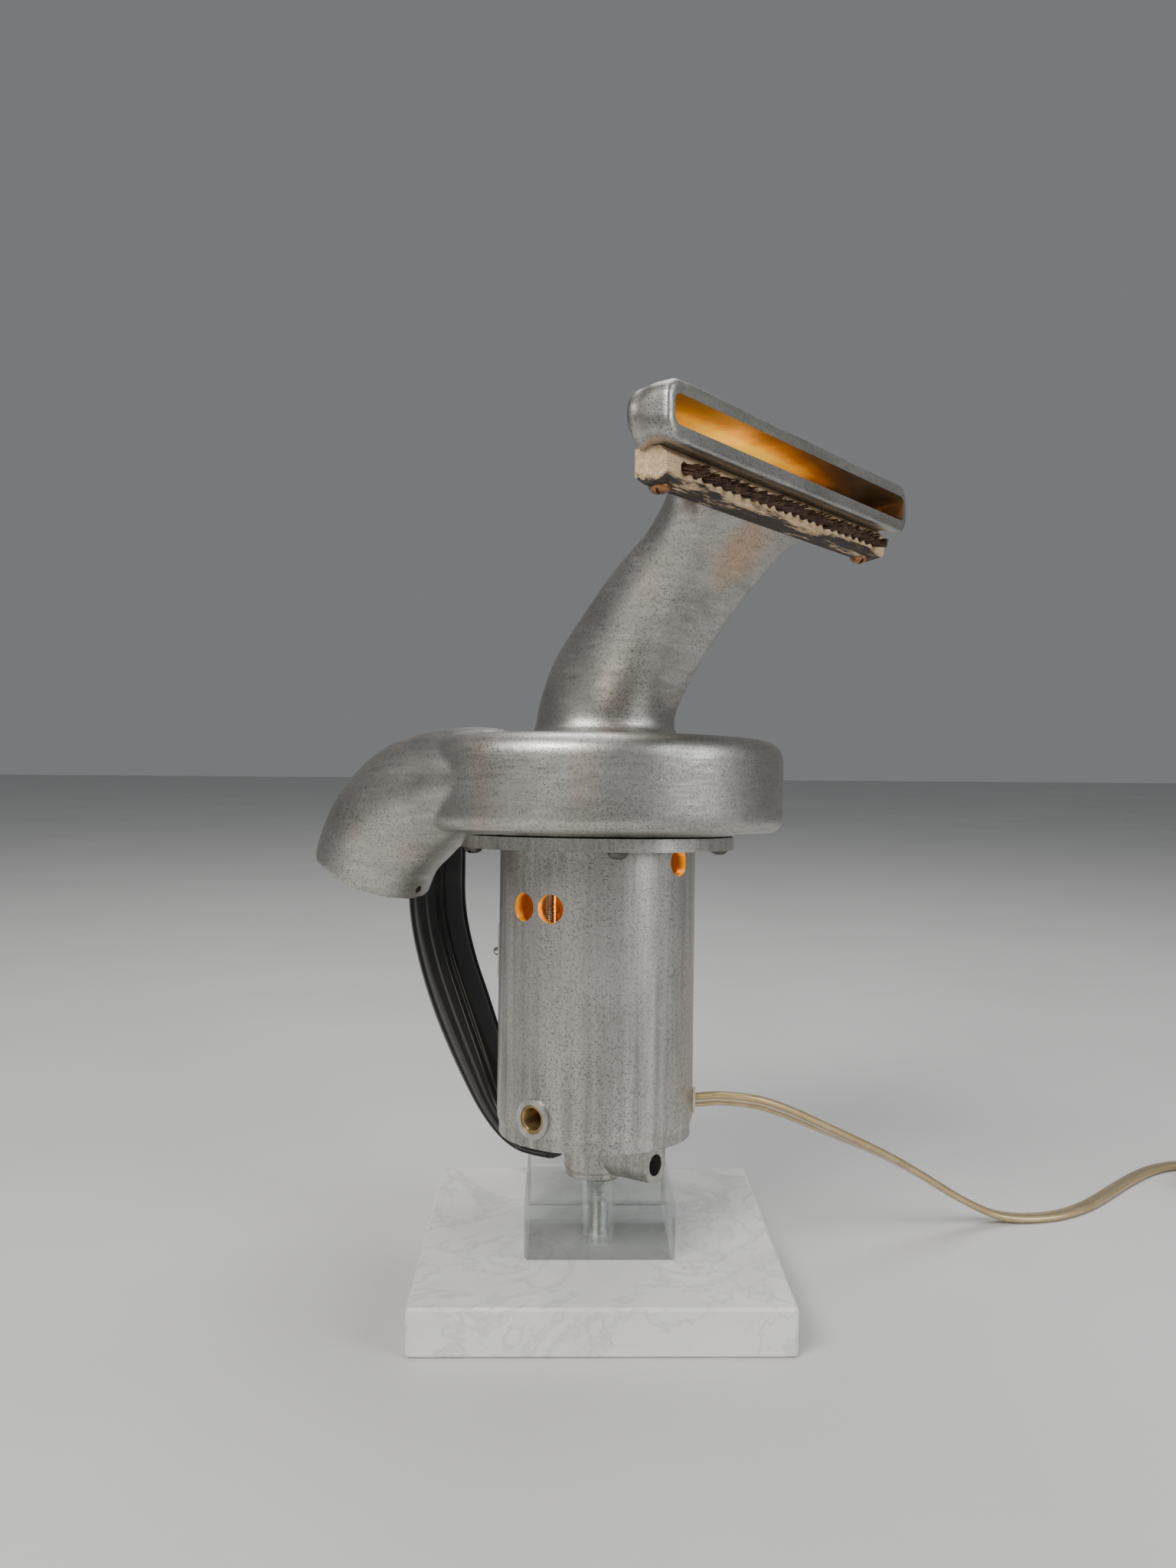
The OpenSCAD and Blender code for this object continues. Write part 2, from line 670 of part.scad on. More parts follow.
// The switch body's front corners stay clear of the round wall
switch_body_w = 13;
bushing_y0 = sqrt(pow(motor_in_r, 2) - pow(switch_body_w / 2, 2)) - 0.1;
bushing_y1 = plate_y + plate_sw_t + 4.4;
nut_sw_t = 1.8;
module switch_plate() {
    color("silver") on_body() difference() {
        translate([-plate_sw_w / 2, plate_y, switch_z - plate_sw_h / 2])
            cube([plate_sw_w, plate_sw_t, plate_sw_h]);
        on_switch(plate_y - 1) cylinder(h = plate_sw_t + 2, d = switch_hole_d);
        for (s = [-1, 1]) translate([s * plate_screw_x, plate_y - 1, switch_z])
            rotate([-90, 0, 0]) cylinder(h = plate_sw_t + 2, d = 3.2);
    }
}

module plate_screws() {
    color("silver") on_body() for (s = [-1, 1])
        translate([s * plate_screw_x, plate_y + plate_sw_t, switch_z]) rotate([90, 0, 0])
            round_screw(plate_sw_t + 4.4, 5.6, 3);
}

module switch_body() {
    color("#30302e") on_body() difference() {
        translate([-switch_body_w / 2, bushing_y0 - 14, switch_z - 9.5]) cube([switch_body_w, 14, 19]);
        on_switch(bushing_y0 - 9) cylinder(h = 12, d = 7.2);
    }
}

module switch_bushing() {
    color("silver") on_body() difference() {
        on_switch(bushing_y0) cylinder(h = bushing_y1 - bushing_y0, d = switch_hole_d - 0.2);
        on_switch(bushing_y0 - 1) cylinder(h = bushing_y1 - bushing_y0 + 2, d = 6.4);
        translate([-4.5, pivot_y, switch_z]) rotate([0, 90, 0]) cylinder(h = 9, d = pin_d);
    }
}

module switch_nut() {
    color("silver") on_body() on_switch(plate_y + plate_sw_t) hex_nut(nut_sw_t, 11, switch_hole_d - 0.2);
}

// The lever turns on its pin; at rest it points down, against its lower stop
module switch_lever() {
    color("gainsboro") on_body() translate([0, pivot_y, switch_z]) rotate([-lever_swing, 0, 0])
        rotate([-90, 0, 0]) difference() {
            union() {
                sphere(d = ball_d);
                translate([0, 0, -6]) cylinder(h = 6, d = 2);
                cylinder(h = lever_l - lever_d / 2, d1 = 2.4, d2 = lever_d);
                translate([0, 0, lever_l - lever_d / 2]) sphere(d = lever_d);
            }
            translate([-4, 0, 0]) rotate([0, 90, 0]) cylinder(h = 8, d = pin_d + 0.1);
        }
}

module switch_pin() {
    color("silver") on_body() translate([-4.05, pivot_y, switch_z]) rotate([0, 90, 0])
        cylinder(h = 8.1, d = pin_d);
}

// Socket, standing on the rod
cap_h = 20;
shell_h = 36;
socket_r = socket_d / 2;
shell_z = socket_z + cap_h;
core_z = shell_z + 6;
thread_z = core_z + 8;
thread_r = 13.6;
bulb_z = thread_z + 5;
module socket_cap() {
    color("#b08d3c") on_rod(socket_z) difference() {
        union() {
            cylinder(h = 8, d = rod_d + 3.8);
            translate([0, 0, 6]) cylinder(h = 10, r1 = 8, r2 = socket_r + 0.8);
            translate([0, 0, 16]) cylinder(h = 7, r = socket_r + 0.8);
        }
        translate([0, 0, -1]) cylinder(h = 10, d = rod_d);
        translate([0, 0, 8]) cylinder(h = 8.5, r1 = 6, r2 = socket_r - 0.6);
        translate([0, 0, 16]) cylinder(h = 8, r = socket_r);
    }
}

module socket_shell() {
    color("#b08d3c") on_rod(shell_z) tube(shell_h, socket_d, socket_d - 1.2);
}

module socket_liner() {
    color("#6b5a45") on_rod(shell_z + 0.5) tube(shell_h - 2, socket_d - 1.2, socket_d - 3.2);
}

module socket_core() {
    color("#2b2b2b") on_rod(core_z) difference() {
        cylinder(h = 8, d = socket_d - 3.2);
        translate([0, 0, 5]) cylinder(h = 4, d = 9);
    }
}

module screw_shell() {
    color("goldenrod") on_rod(thread_z) tube(20, 2 * thread_r + 1, 2 * thread_r);
}

module bulb_base() {
    color("goldenrod") on_rod(bulb_z) difference() {
        union() {
            cylinder(h = 3, r1 = 6, r2 = 12.4);
            translate([0, 0, 3]) cylinder(h = 20, d = 26);
        }
        translate([0, 0, 6]) cylinder(h = 20, d = 24);
    }
}

module bulb_contact() {
    color("silver") on_rod(bulb_z - 2) cylinder(h = 2, d = 8);
}

glass_z = bulb_z + 12;
bulb_r = bulb_d / 2;
bulb_neck_r = 11.8;
module bulb_shape(r, neck, z0, z1) {
    rotate_extrude() intersection() {
        union() {
            translate([0, z0]) square([neck, 12]);
            polygon([[0, z0 + 10], [neck, z0 + 10], [r, z0 + 20], [0, z0 + 20]]);
            translate([0, z0 + 20 - e]) square([r, z1 - r - z0 - 20 + 2 * e]);
            translate([0, z1 - r]) circle(r);
        }
        translate([0, z0]) square([r + 1, z1 - z0 + 1]);
    }
}
module bulb_glass() {
    color([1, 0.7, 0.3, 0.5]) on_rod(glass_z) difference() {
        bulb_shape(bulb_r, bulb_neck_r, 0, bulb_l + 9);
        bulb_shape(bulb_r - 1, bulb_neck_r - 1, 1, bulb_l + 8);
    }
}

module bulb_stem() {
    color("lightgray") on_rod(glass_z + 1) {
        cylinder(h = 8, r1 = 7, r2 = 3);
        cylinder(h = 22, r = 2.2);
    }
}

fil_r = 7;
fil_z = glass_z + 25;
module bulb_filament() {
    color("orange") on_rod(0) {
        for (i = [0 : 5]) rotate([0, 0, 60 * i]) translate([fil_r, 0, fil_z])
            cylinder(h = 42, d = 1.4);
        translate([0, 0, fil_z - 1]) cylinder(h = 1, r = fil_r + 1);
        translate([0, 0, fil_z - 2]) cylinder(h = 1, r = 2);
    }
}

// Round tubes along points, for the leads and the free cord
function unit(v) = v / norm(v);
function heading(p, i) = unit(at(p, i + 1) - at(p, i - 1));
function across(t) = unit(cross(t, [0, 0, 1]));
function cord_ring(p, i, a, b, n) =
    let (t = heading(p, i), s = across(t), u = cross(s, t))
        [for (k = [0 : n - 1])
            let (q = 360 * (k + 0.5) / n) p[i] + s * a * cos(q) + u * b * sin(q)];
module flex(points, steps, w, h, n) {
    p = smooth(points, steps);
    skin([for (i = [0 : len(p) - 1]) cord_ring(p, i, w / 2, h / 2, n)]);
}

lead_d = 2.2;
cap_side_z = socket_z + 11.5;
module lead_neutral() {
    color("#c9b98a") flex([[30, -4.4, 81.5], [24, -6, 82.5], [18, -12, 85], [12.5, -13.5, 89],
                           [10.3, -10.3, cap_side_z]], 3, lead_d, lead_d, 8);
}
module lead_live() {
    color("#c9b98a") flex([[30, -4.4, 78.5], [25, -1, 80], [20, 6, 86], [12, 14, 98],
                           [-4, 20, 118], [-14.5, 19.5, 134]], 3, lead_d, lead_d, 8);
}
module lead_switched() {
    color("#1f1f1f") flex([[-19.5, 13.5, 134], [-22, 9, 124], [-21.5, 4, 108], [-19.5, 0, 96],
                           [-13.2, -2.5, cap_side_z]], 3, lead_d, lead_d, 8);
}

module cord_bushing() {
    color("ivory") on_cord_exit() difference() {
        union() {
            translate([0, 0, -8]) cylinder(h = 8.6, d = cord_hole_d);
            cylinder(h = 1, d = cord_hole_d + 1);
        }
        translate([0, 0, -9]) cylinder(h = 12, d = cord_w + 0.8);
    }
}

// The free cord: out of the housing, down to the table, and along it to the coil
coil_c = [366, 92];
coil_half_w = 8;
coil_h = 14;
lie = cord_t / 2;
cord_points = [
    [41.4, -5.3, 80], [47, -5.7, 80.6], [54.7, -5.5, 80.8], [69.8, -4, 78.6], [84.6, 1, 72.5],
    [101.8, 8.5, 63.2], [118.9, 17, 53.7], [137.1, 26.5, 43], [155.8, 36.5, 30.4],
    [174.6, 45.5, 17.2], [193.6, 53.3, 6.2], [208, 55.6, 2.4], [224, 58, lie], [238, 64, lie],
    [252, 74, lie], [266, 87, lie], [280, 100.5, lie], [295, 114, lie], [309, 124, lie],
    [324, 129.8, lie], [345, 131, lie], [coil_c[0], coil_c[1] + coil_r + 3.7, lie]
];
module cord() {
    color("#d8c98a") flex(cord_points, 2, cord_w, cord_t, 8);
}

module cord_coil() {
    color("#d8c98a") translate([coil_c[0], coil_c[1], 0]) rotate_extrude($fn = 48)
        translate([coil_r - coil_half_w, 0]) square([2 * coil_half_w, coil_h]);
}

module cord_tie() {
    color("#222222") translate([coil_c[0] - coil_r, coil_c[1], coil_h / 2]) rotate([90, 0, 0])
        translate([0, 0, -2]) linear_extrude(4) difference() {
            translate([-coil_half_w - 1, -coil_h / 2]) square([2 * coil_half_w + 2, coil_h + 1]);
            translate([-coil_half_w, -coil_h / 2 - 1]) square([2 * coil_half_w, coil_h + 1]);
        }
}

plug_x = coil_c[0] + coil_r;
plug_y = 58;
plug_w = 24;
plug_t = 12;
tail_points = [[plug_x + 1.5, coil_c[1] - 4, 8], [plug_x + 0.9, 80, 7], [plug_x + 0.3, 70, 6.2],
               [plug_x, plug_y, plug_t / 2]];
module cord_tail() {
    color("#d8c98a") flex(tail_points, 3, cord_w, cord_t, 8);
}

module plug_body() {
    color("#d0c084") translate([plug_x, plug_y, plug_t / 2]) rotate([90, 0, 0]) {
        linear_extrude(plug_l * 0.45) square([plug_w * 0.55, plug_t * 0.75], center = true);
        translate([0, 0, plug_l * 0.45 - e]) linear_extrude(plug_l * 0.55 + e)
            square([plug_w, plug_t], center = true);
    }
}

blade_l = 16;
module plug_blades() {
    color("goldenrod") for (s = [-1, 1])
        translate([plug_x + s * 6.35 - 0.75, plug_y - plug_l - blade_l, plug_t / 2 - 3.2]) difference() {
            cube([1.5, blade_l, 6.4]);
            translate([-1, 4, 3.2]) rotate([0, 90, 0]) cylinder(h = 4, d = 2.6);
        }
}

marble_base();
sink_cover();
glass_block();
base_rod();
base_washer();
base_nut();
seat_washer();
inner_washer();
inner_nut();
motor_housing();
flange_screws();
fan_housing();
port_rings();
port_tubes();
motor_studs();
stud_nuts();
brush_bar();
brush_bristles();
brush_screws();
handle();
handle_screws();
switch_plate();
plate_screws();
switch_body();
switch_bushing();
switch_nut();
switch_lever();
switch_pin();
socket_cap();
socket_shell();
socket_liner();
socket_core();
screw_shell();
bulb_base();
bulb_contact();
bulb_glass();
bulb_stem();
bulb_filament();
lead_neutral();
lead_live();
lead_switched();
cord_bushing();
cord();
cord_coil();
cord_tie();
cord_tail();
plug_body();
plug_blades();
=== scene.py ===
import math
import random
import bmesh
import bpy
from mathutils import Matrix, Vector


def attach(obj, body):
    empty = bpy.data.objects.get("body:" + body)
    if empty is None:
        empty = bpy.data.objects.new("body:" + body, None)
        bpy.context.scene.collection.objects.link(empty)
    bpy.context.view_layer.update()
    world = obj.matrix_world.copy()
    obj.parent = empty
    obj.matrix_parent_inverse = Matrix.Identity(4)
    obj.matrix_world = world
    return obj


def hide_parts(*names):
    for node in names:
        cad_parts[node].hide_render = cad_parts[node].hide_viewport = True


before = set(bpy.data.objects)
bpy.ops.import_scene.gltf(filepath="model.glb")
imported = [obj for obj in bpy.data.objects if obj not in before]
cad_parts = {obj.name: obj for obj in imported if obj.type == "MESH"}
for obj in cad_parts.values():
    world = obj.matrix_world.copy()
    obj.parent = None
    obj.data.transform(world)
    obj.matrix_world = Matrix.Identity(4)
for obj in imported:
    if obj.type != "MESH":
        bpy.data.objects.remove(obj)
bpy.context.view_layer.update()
random.seed(7)
print("stage: frame loaded")

# Lengths in the settings below are in millimetres, in the cleaner's own frame
# unless the name says otherwise. The scene is in metres.
mm = Matrix.Scale(0.001, 4)
bodyPlace = (mm @ Matrix.Translation((-2, -4, 47)) @ Matrix.Rotation(math.radians(-4.2), 4, "X")
             @ Matrix.Rotation(math.radians(0.3), 4, "Y") @ Matrix.Rotation(math.radians(52), 4, "Z"))
nozzlePlace = bodyPlace @ Matrix.Rotation(math.radians(-1), 4, "Z")
rodPlace = mm @ Matrix.Translation((0, -2, 0))
body = {"motorRadius": 43, "motorInside": 39, "flangeLow": 143.4, "fanLow": 148.8, "fanHigh": 190.8,
        "fanRadius": 81, "mouthLevel": 297.5, "screwCircle": 55, "earMiddle": 94, "earRadius": 16,
        "earThick": 9}


def makeCamera():
    pitch, yaw, roll = 0.0591, 0.0195, 0.0085
    forward = Vector((math.sin(yaw) * math.cos(pitch), math.cos(yaw) * math.cos(pitch), -math.sin(pitch)))
    side = Vector((math.cos(yaw), -math.sin(yaw), 0))
    up = side.cross(forward)
    right = side * math.cos(roll) + up * math.sin(roll)
    above = -side * math.sin(roll) + up * math.cos(roll)
    data = bpy.data.cameras.new("camera")
    data.sensor_fit = "VERTICAL"
    data.sensor_height = 36
    data.sensor_width = 27
    data.lens = 29.236
    data.clip_start = 0.01
    cam = bpy.data.objects.new("camera", data)
    bpy.context.scene.collection.objects.link(cam)
    turn = Matrix((right, above, -forward)).transposed().to_4x4()
    cam.matrix_world = Matrix.Translation((-0.016744, -0.55465, 0.25125)) @ turn
    bpy.context.scene.camera = cam


makeCamera()
print("stage: camera")


def blend(a, b, c, d, t):
    return [0.5 * (2 * q + (r - p) * t + (2 * p - 5 * q + 4 * r - s) * t * t
                   + (3 * q - p - 3 * r + s) * t ** 3) for p, q, r, s in zip(a, b, c, d)]


def smoothed(points, steps):
    last = len(points) - 1
    pick = [points[max(0, min(last, i))] for i in range(-1, last + 2)]
    out = [blend(pick[i], pick[i + 1], pick[i + 2], pick[i + 3], k / steps)
           for i in range(last) for k in range(steps)]
    return out + [list(points[-1])]


def slotRing(station, x, count):
    y, z, angle, a, b = station
    c, s = math.cos(math.radians(angle)), math.sin(math.radians(angle))
    big, small = max(a, b), min(a, b)
    ring = []
    for k in range(count):
        q = 2 * math.pi * (k + 0.5) / count
        u = (math.copysign(big - small, math.cos(q)) if a >= b else 0) + small * math.cos(q)
        v = (0 if a >= b else math.copysign(big - small, math.sin(q))) + small * math.sin(q)
        ring.append((x + u, y + v * c, z + v * s))
    return ring


def skin(bm, rings, closed=False, slot=0):
    rows = [[bm.verts.new(p) for p in ring] for ring in rings]
    count = len(rows[0])
    pairs = list(zip(rows, rows[1:])) + ([(rows[-1], rows[0])] if closed else [])
    for low, high in pairs:
        for k in range(count):
            j = (k + 1) % count
            bm.faces.new((low[k], low[j], high[j], high[k])).material_index = slot
    if not closed:
        bm.faces.new(list(reversed(rows[0]))).material_index = slot
        bm.faces.new(rows[-1]).material_index = slot


# profile is a list of (radius, level) from axis to axis, or a closed loop off the axis.
def revolve(bm, profile, count=96, slot=0, place=None):
    closed = profile[0][0] > 0.001
    start = len(bm.verts)
    rows = []
    for r, z in profile:
        if r <= 0.001:
            rows.append([bm.verts.new((0, 0, z))])
        else:
            rows.append([bm.verts.new((r * math.cos(2 * math.pi * k / count),
                                       r * math.sin(2 * math.pi * k / count), z)) for k in range(count)])
    pairs = list(zip(rows, rows[1:])) + ([(rows[-1], rows[0])] if closed else [])
    for low, high in pairs:
        for k in range(count):
            j = (k + 1) % count
            loop = [low[0]] if len(low) == 1 else [low[k], low[j]]
            loop += [high[0]] if len(high) == 1 else [high[j], high[k]]
            if len(loop) > 2:
                bm.faces.new(loop).material_index = slot
    if place is not None:
        bm.verts.ensure_lookup_table()
        for v in bm.verts[start:]:
            v.co = place @ v.co


def finishMesh(bm, name, place, materials, smooth=True, angle=35):
    bmesh.ops.recalc_face_normals(bm, faces=bm.faces)
    bmesh.ops.transform(bm, matrix=place, verts=bm.verts)
    limit = math.radians(angle)
    for f in bm.faces:
        f.smooth = smooth
    for e in bm.edges:
        if len(e.link_faces) == 2 and e.calc_face_angle(0) > limit:
            e.smooth = False
    data = bpy.data.meshes.new(name)
    bm.to_mesh(data)
    bm.free()
    for m in materials:
        data.materials.append(m)
    obj = bpy.data.objects.new(name, data)
    bpy.context.scene.collection.objects.link(obj)
    return obj


# A new object with the modifiers of obj applied. obj is removed.
def evaluated(obj, name, materials=None):
    graph = bpy.context.evaluated_depsgraph_get()
    data = bpy.data.meshes.new_from_object(obj.evaluated_get(graph))
    data.name = name
    made = bpy.data.objects.new(name, data)
    bpy.context.scene.collection.objects.link(made)
    old = obj.data
    bpy.data.objects.remove(obj)
    bpy.data.meshes.remove(old)
    if materials:
        data.materials.clear()
        for m in materials:
            data.materials.append(m)
    return made


def cut(obj, cutter, name, operation="DIFFERENCE"):
    mod = obj.modifiers.new("cut", "BOOLEAN")
    mod.object = cutter
    mod.operation = operation
    mod.solver = "MANIFOLD"
    made = evaluated(obj, name)
    old = cutter.data
    bpy.data.objects.remove(cutter)
    bpy.data.meshes.remove(old)
    return made


def sharpen(obj, angle=32):
    bm = bmesh.new()
    bm.from_mesh(obj.data)
    limit = math.radians(angle)
    for f in bm.faces:
        f.smooth = True
    for e in bm.edges:
        e.smooth = not (len(e.link_faces) == 2 and e.calc_face_angle(0) > limit)
    bm.to_mesh(obj.data)
    bm.free()


def radial(angle, level, out=0.0):
    return (Matrix.Rotation(math.radians(angle), 4, "Z") @ Matrix.Translation((out, 0, level))
            @ Matrix.Rotation(math.radians(90), 4, "Y"))


def place(obj, name, slot, nodes, bodyName="lamp"):
    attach(obj, bodyName)
    if nodes:
        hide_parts(*nodes)
    return obj


# A node material, with short ways to make the nodes that the looks below share.
class Look:
    def __init__(self, name, color, metallic=0.0, rough=0.5, **values):
        self.mat = bpy.data.materials.new(name)
        self.mat.use_nodes = True
        self.mat.diffuse_color = (*color, 1)
        self.tree = self.mat.node_tree
        self.shader = self.tree.nodes["Principled BSDF"]
        self.set("Base Color", (*color, 1))
        self.set("Metallic", metallic)
        self.set("Roughness", rough)
        for key, value in values.items():
            self.set(key.replace("_", " "), value)
        self.height = None

    def set(self, socket, value):
        self.shader.inputs[socket].default_value = value

    def link(self, a, b):
        self.tree.links.new(a, b)

    def coords(self, scale=(1, 1, 1), matrix=None, source="Object"):
        tex = self.tree.nodes.new("ShaderNodeTexCoord").outputs[source]
        if matrix is not None:
            turn = self.tree.nodes.new("ShaderNodeMapping")
            turn.vector_type = "POINT"
            turn.inputs["Location"].default_value = matrix.to_translation()
            turn.inputs["Rotation"].default_value = matrix.to_euler("XYZ")
            self.link(tex, turn.inputs["Vector"])
            tex = turn.outputs["Vector"]
        node = self.tree.nodes.new("ShaderNodeMapping")
        node.inputs["Scale"].default_value = scale
        self.link(tex, node.inputs["Vector"])
        return node.outputs["Vector"]

    def noise(self, vector, scale, detail=4, rough=0.5, distortion=0.0):
        node = self.tree.nodes.new("ShaderNodeTexNoise")
        node.inputs["Scale"].default_value = scale
        node.inputs["Detail"].default_value = detail
        node.inputs["Roughness"].default_value = rough
        node.inputs["Distortion"].default_value = distortion
        self.link(vector, node.inputs["Vector"])
        return node.outputs["Fac"]

    def cells(self, vector, scale, feature="F1"):
        node = self.tree.nodes.new("ShaderNodeTexVoronoi")
        node.feature = feature
        node.inputs["Scale"].default_value = scale
        self.link(vector, node.inputs["Vector"])
        return node.outputs["Distance"]

    def ramp(self, fac, stops):
        node = self.tree.nodes.new("ShaderNodeValToRGB")
        ramp = node.color_ramp
        while len(ramp.elements) < len(stops):
            ramp.elements.new(0.5)
        for element, (at, color) in zip(ramp.elements, stops):
            element.position = at
            value = color if isinstance(color, tuple) else (color, color, color)
            element.color = (*value, 1)
        self.link(fac, node.inputs["Fac"])
        return node.outputs["Color"]

    def mix(self, fac, a, b, kind="MIX"):
        node = self.tree.nodes.new("ShaderNodeMix")
        node.data_type = "RGBA"
        node.blend_type = kind
        for socket, value in ((node.inputs[0], fac), (node.inputs[6], a), (node.inputs[7], b)):
            if isinstance(value, bpy.types.NodeSocket):
                self.link(value, socket)
            elif isinstance(value, tuple):
                socket.default_value = (*value, 1)
            else:
                socket.default_value = value
        return node.outputs[2]

    def math(self, kind, a, b=0.0):
        node = self.tree.nodes.new("ShaderNodeMath")
        node.operation = kind
        for socket, value in ((node.inputs[0], a), (node.inputs[1], b)):
            if isinstance(value, bpy.types.NodeSocket):
                self.link(value, socket)
            else:
                socket.default_value = value
        return node.outputs[0]

    def separate(self, vector):
        node = self.tree.nodes.new("ShaderNodeSeparateXYZ")
        self.link(vector, node.inputs[0])
        return node.outputs

    def color(self, value):
        self.link(value, self.shader.inputs["Base Color"])

    def roughness(self, fac, low, high):
        node = self.tree.nodes.new("ShaderNodeMapRange")
        node.inputs["To Min"].default_value = low
        node.inputs["To Max"].default_value = high
        self.link(fac, node.inputs["Value"])
        self.link(node.outputs[0], self.shader.inputs["Roughness"])

    def bump(self, height, distance, strength=1.0):
        node = self.tree.nodes.new("ShaderNodeBump")
        node.inputs["Distance"].default_value = distance
        node.inputs["Strength"].default_value = strength
        self.link(height, node.inputs["Height"])
        if self.height is not None:
            self.link(self.height, node.inputs["Normal"])
        self.height = node.outputs["Normal"]
        self.link(self.height, self.shader.inputs["Normal"])


intoBody = (mm.inverted() @ bodyPlace).inverted()
bodyTurn = Matrix.Translation(Vector(intoBody.to_translation()) * 0.001) @ intoBody.to_3x3().to_4x4()


def castLook(name, stretch, streakDepth, lit=False):
    look = Look(name, (0.46, 0.45, 0.42), metallic=1.0, rough=0.4)
    at = look.coords(matrix=bodyTurn)
    grain = look.noise(at, 2600, 2, 0.6)
    mottle = look.noise(at, 950, 4, 0.6)
    cloud = look.noise(at, 21, 5, 0.62)
    streak = look.noise(look.coords(stretch, bodyTurn), 1, 5, 0.6)
    pits = look.cells(at, 900)
    base = look.ramp(cloud, [(0.3, (0.27, 0.262, 0.238)), (0.5, (0.38, 0.368, 0.34)),
                             (0.72, (0.52, 0.505, 0.47))])
    bands = look.ramp(streak, [(0.32, 0.0), (0.5, 0.45), (0.68, 1.0)])
    base = look.mix(look.math("MULTIPLY", streakDepth, bands), base, (0.72, 0.70, 0.655))
    warm = look.ramp(look.noise(look.coords((70, 70, 9), bodyTurn), 1, 3, 0.6), [(0.56, 0.0), (0.68, 1.0)])
    base = look.mix(look.math("MULTIPLY", warm, 0.3), base, (0.56, 0.42, 0.34))
    if not lit:
        # Painted reflection: an orange patch of warm reflected light, painted on the neck under the brush
        # around one point of the body
        x, y, z = look.separate(at)
        away = 0.0
        for part, middle, reach in ((x, 0.002, 0.020), (y, -0.066, 0.024), (z, 0.270, 0.020)):
            off = look.math("DIVIDE", look.math("SUBTRACT", part, middle), reach)
            away = look.math("ADD", look.math("MULTIPLY", off, off), away)
        away = look.math("ADD", away, look.math("MULTIPLY", look.math("SUBTRACT", mottle, 0.5), 1.6))
        base = look.mix(look.ramp(away, [(0.1, 0.6), (1.0, 0.0)]), base, (0.62, 0.36, 0.18))
    speck = look.ramp(mottle, [(0.38, 1.0), (0.5, 0.0)])
    base = look.mix(look.math("MULTIPLY", speck, 0.5), base, (0.21, 0.195, 0.17))
    patch = look.ramp(look.noise(at, 48, 4, 0.65), [(0.44, 0.0), (0.6, 1.0)])
    dark = look.math("MULTIPLY", look.ramp(pits, [(0.14, 1.0), (0.34, 0.0)]), patch)
    base = look.mix(look.math("MULTIPLY", dark, 0.8), base, (0.09, 0.075, 0.06))
    look.color(base)
    look.roughness(look.math("ADD", look.math("MULTIPLY", bands, 0.7), look.math("MULTIPLY", mottle, 0.3)),
                   0.50, 0.30)
    look.bump(mottle, 0.00007, 0.8)
    look.bump(grain, 0.00003, 0.6)
    look.bump(look.math("SUBTRACT", 0.0, dark), 0.00004, 0.8)
    if lit:
        litWalls(look, at)
    return look.mat


# Painted glow: the bulb's light on the housing's inside, and still more on the walls of its vents, is
# painted there as an amber emission over a brown base colour
def litWalls(look, at):
    x, y, z = look.separate(at)
    radius = look.math("SQRT", look.math("ADD", look.math("MULTIPLY", x, x), look.math("MULTIPLY", y, y)))
    wave = look.noise(at, 60, 3, 0.6)
    paintedGlow = look.math("ADD", look.math("MULTIPLY", look.math("SUBTRACT", radius, 0.0388), 300),
                     look.math("MULTIPLY", look.math("SUBTRACT", wave, 0.5), 0.5))
    color = look.ramp(paintedGlow, [(0.0, (0.13, 0.022, 0.0005)), (0.3, (0.24, 0.055, 0.001)),
                             (0.9, (0.80, 0.30, 0.012))])
    inside = look.ramp(look.math("DIVIDE", radius, 0.1), [(0.4265, 1.0), (0.4285, 0.0)])
    high = look.ramp(look.math("DIVIDE", z, 0.2), [(0.30, 0.0), (0.52, 1.0)])
    notFlat = look.ramp(look.math("DIVIDE", y, 0.1), [(0.407, 1.0), (0.410, 0.0)])
    shown = look.math("MULTIPLY", look.math("MULTIPLY", inside, high), notFlat)
    look.link(look.mix(shown, (0, 0, 0), color), look.shader.inputs["Emission Color"])
    metal = look.shader.inputs["Base Color"].links[0].from_socket
    look.color(look.mix(shown, metal, (0.16, 0.085, 0.03)))
    look.set("Emission Strength", 0.9)


# Painted glow: the inside faces near the mouth get an amber emission, brightest deep in its lower middle,
# for the bulb's light shining up the nozzle; lower inside faces stay dark
def mouthLook():
    look = Look("mouthInside", (0.5, 0.4, 0.26), metallic=0.75, rough=0.45)
    at = look.coords(matrix=bodyTurn)
    x, y, z = look.separate(at)
    side = look.math("DIVIDE", look.math("ADD", x, 0.022), 0.066)
    depth = look.math("MINIMUM", look.math("DIVIDE", look.math("ADD", y, 0.1015), 0.015), 1.0)
    wave = look.noise(at, 60, 4, 0.6)
    paintedGlow = look.math("SUBTRACT", look.math("ADD", 0.28, look.math("MULTIPLY", depth, 0.76)),
                     look.math("MULTIPLY", look.math("MULTIPLY", side, side), 0.5))
    paintedGlow = look.math("ADD", paintedGlow, look.math("MULTIPLY", look.math("SUBTRACT", wave, 0.5), 0.3))
    paintedGlow = look.math("MULTIPLY", paintedGlow, look.ramp(look.math("DIVIDE", z, 0.5), [(0.44, 0.0), (0.54, 1.0)]))
    color = look.ramp(paintedGlow, [(0.0, (0.004, 0.002, 0.001)), (0.35, (0.05, 0.014, 0.001)),
                             (0.62, (0.26, 0.07, 0.003)),
                             (0.85, (0.72, 0.27, 0.012)), (1.0, (1.0, 0.52, 0.04))])
    look.link(color, look.shader.inputs["Emission Color"])
    look.set("Emission Strength", 0.85)
    look.color(look.ramp(wave, [(0.3, (0.16, 0.11, 0.06)), (0.7, (0.30, 0.21, 0.11))]))
    look.bump(look.noise(at, 330, 4, 0.6), 0.0002, 0.6)
    return look.mat


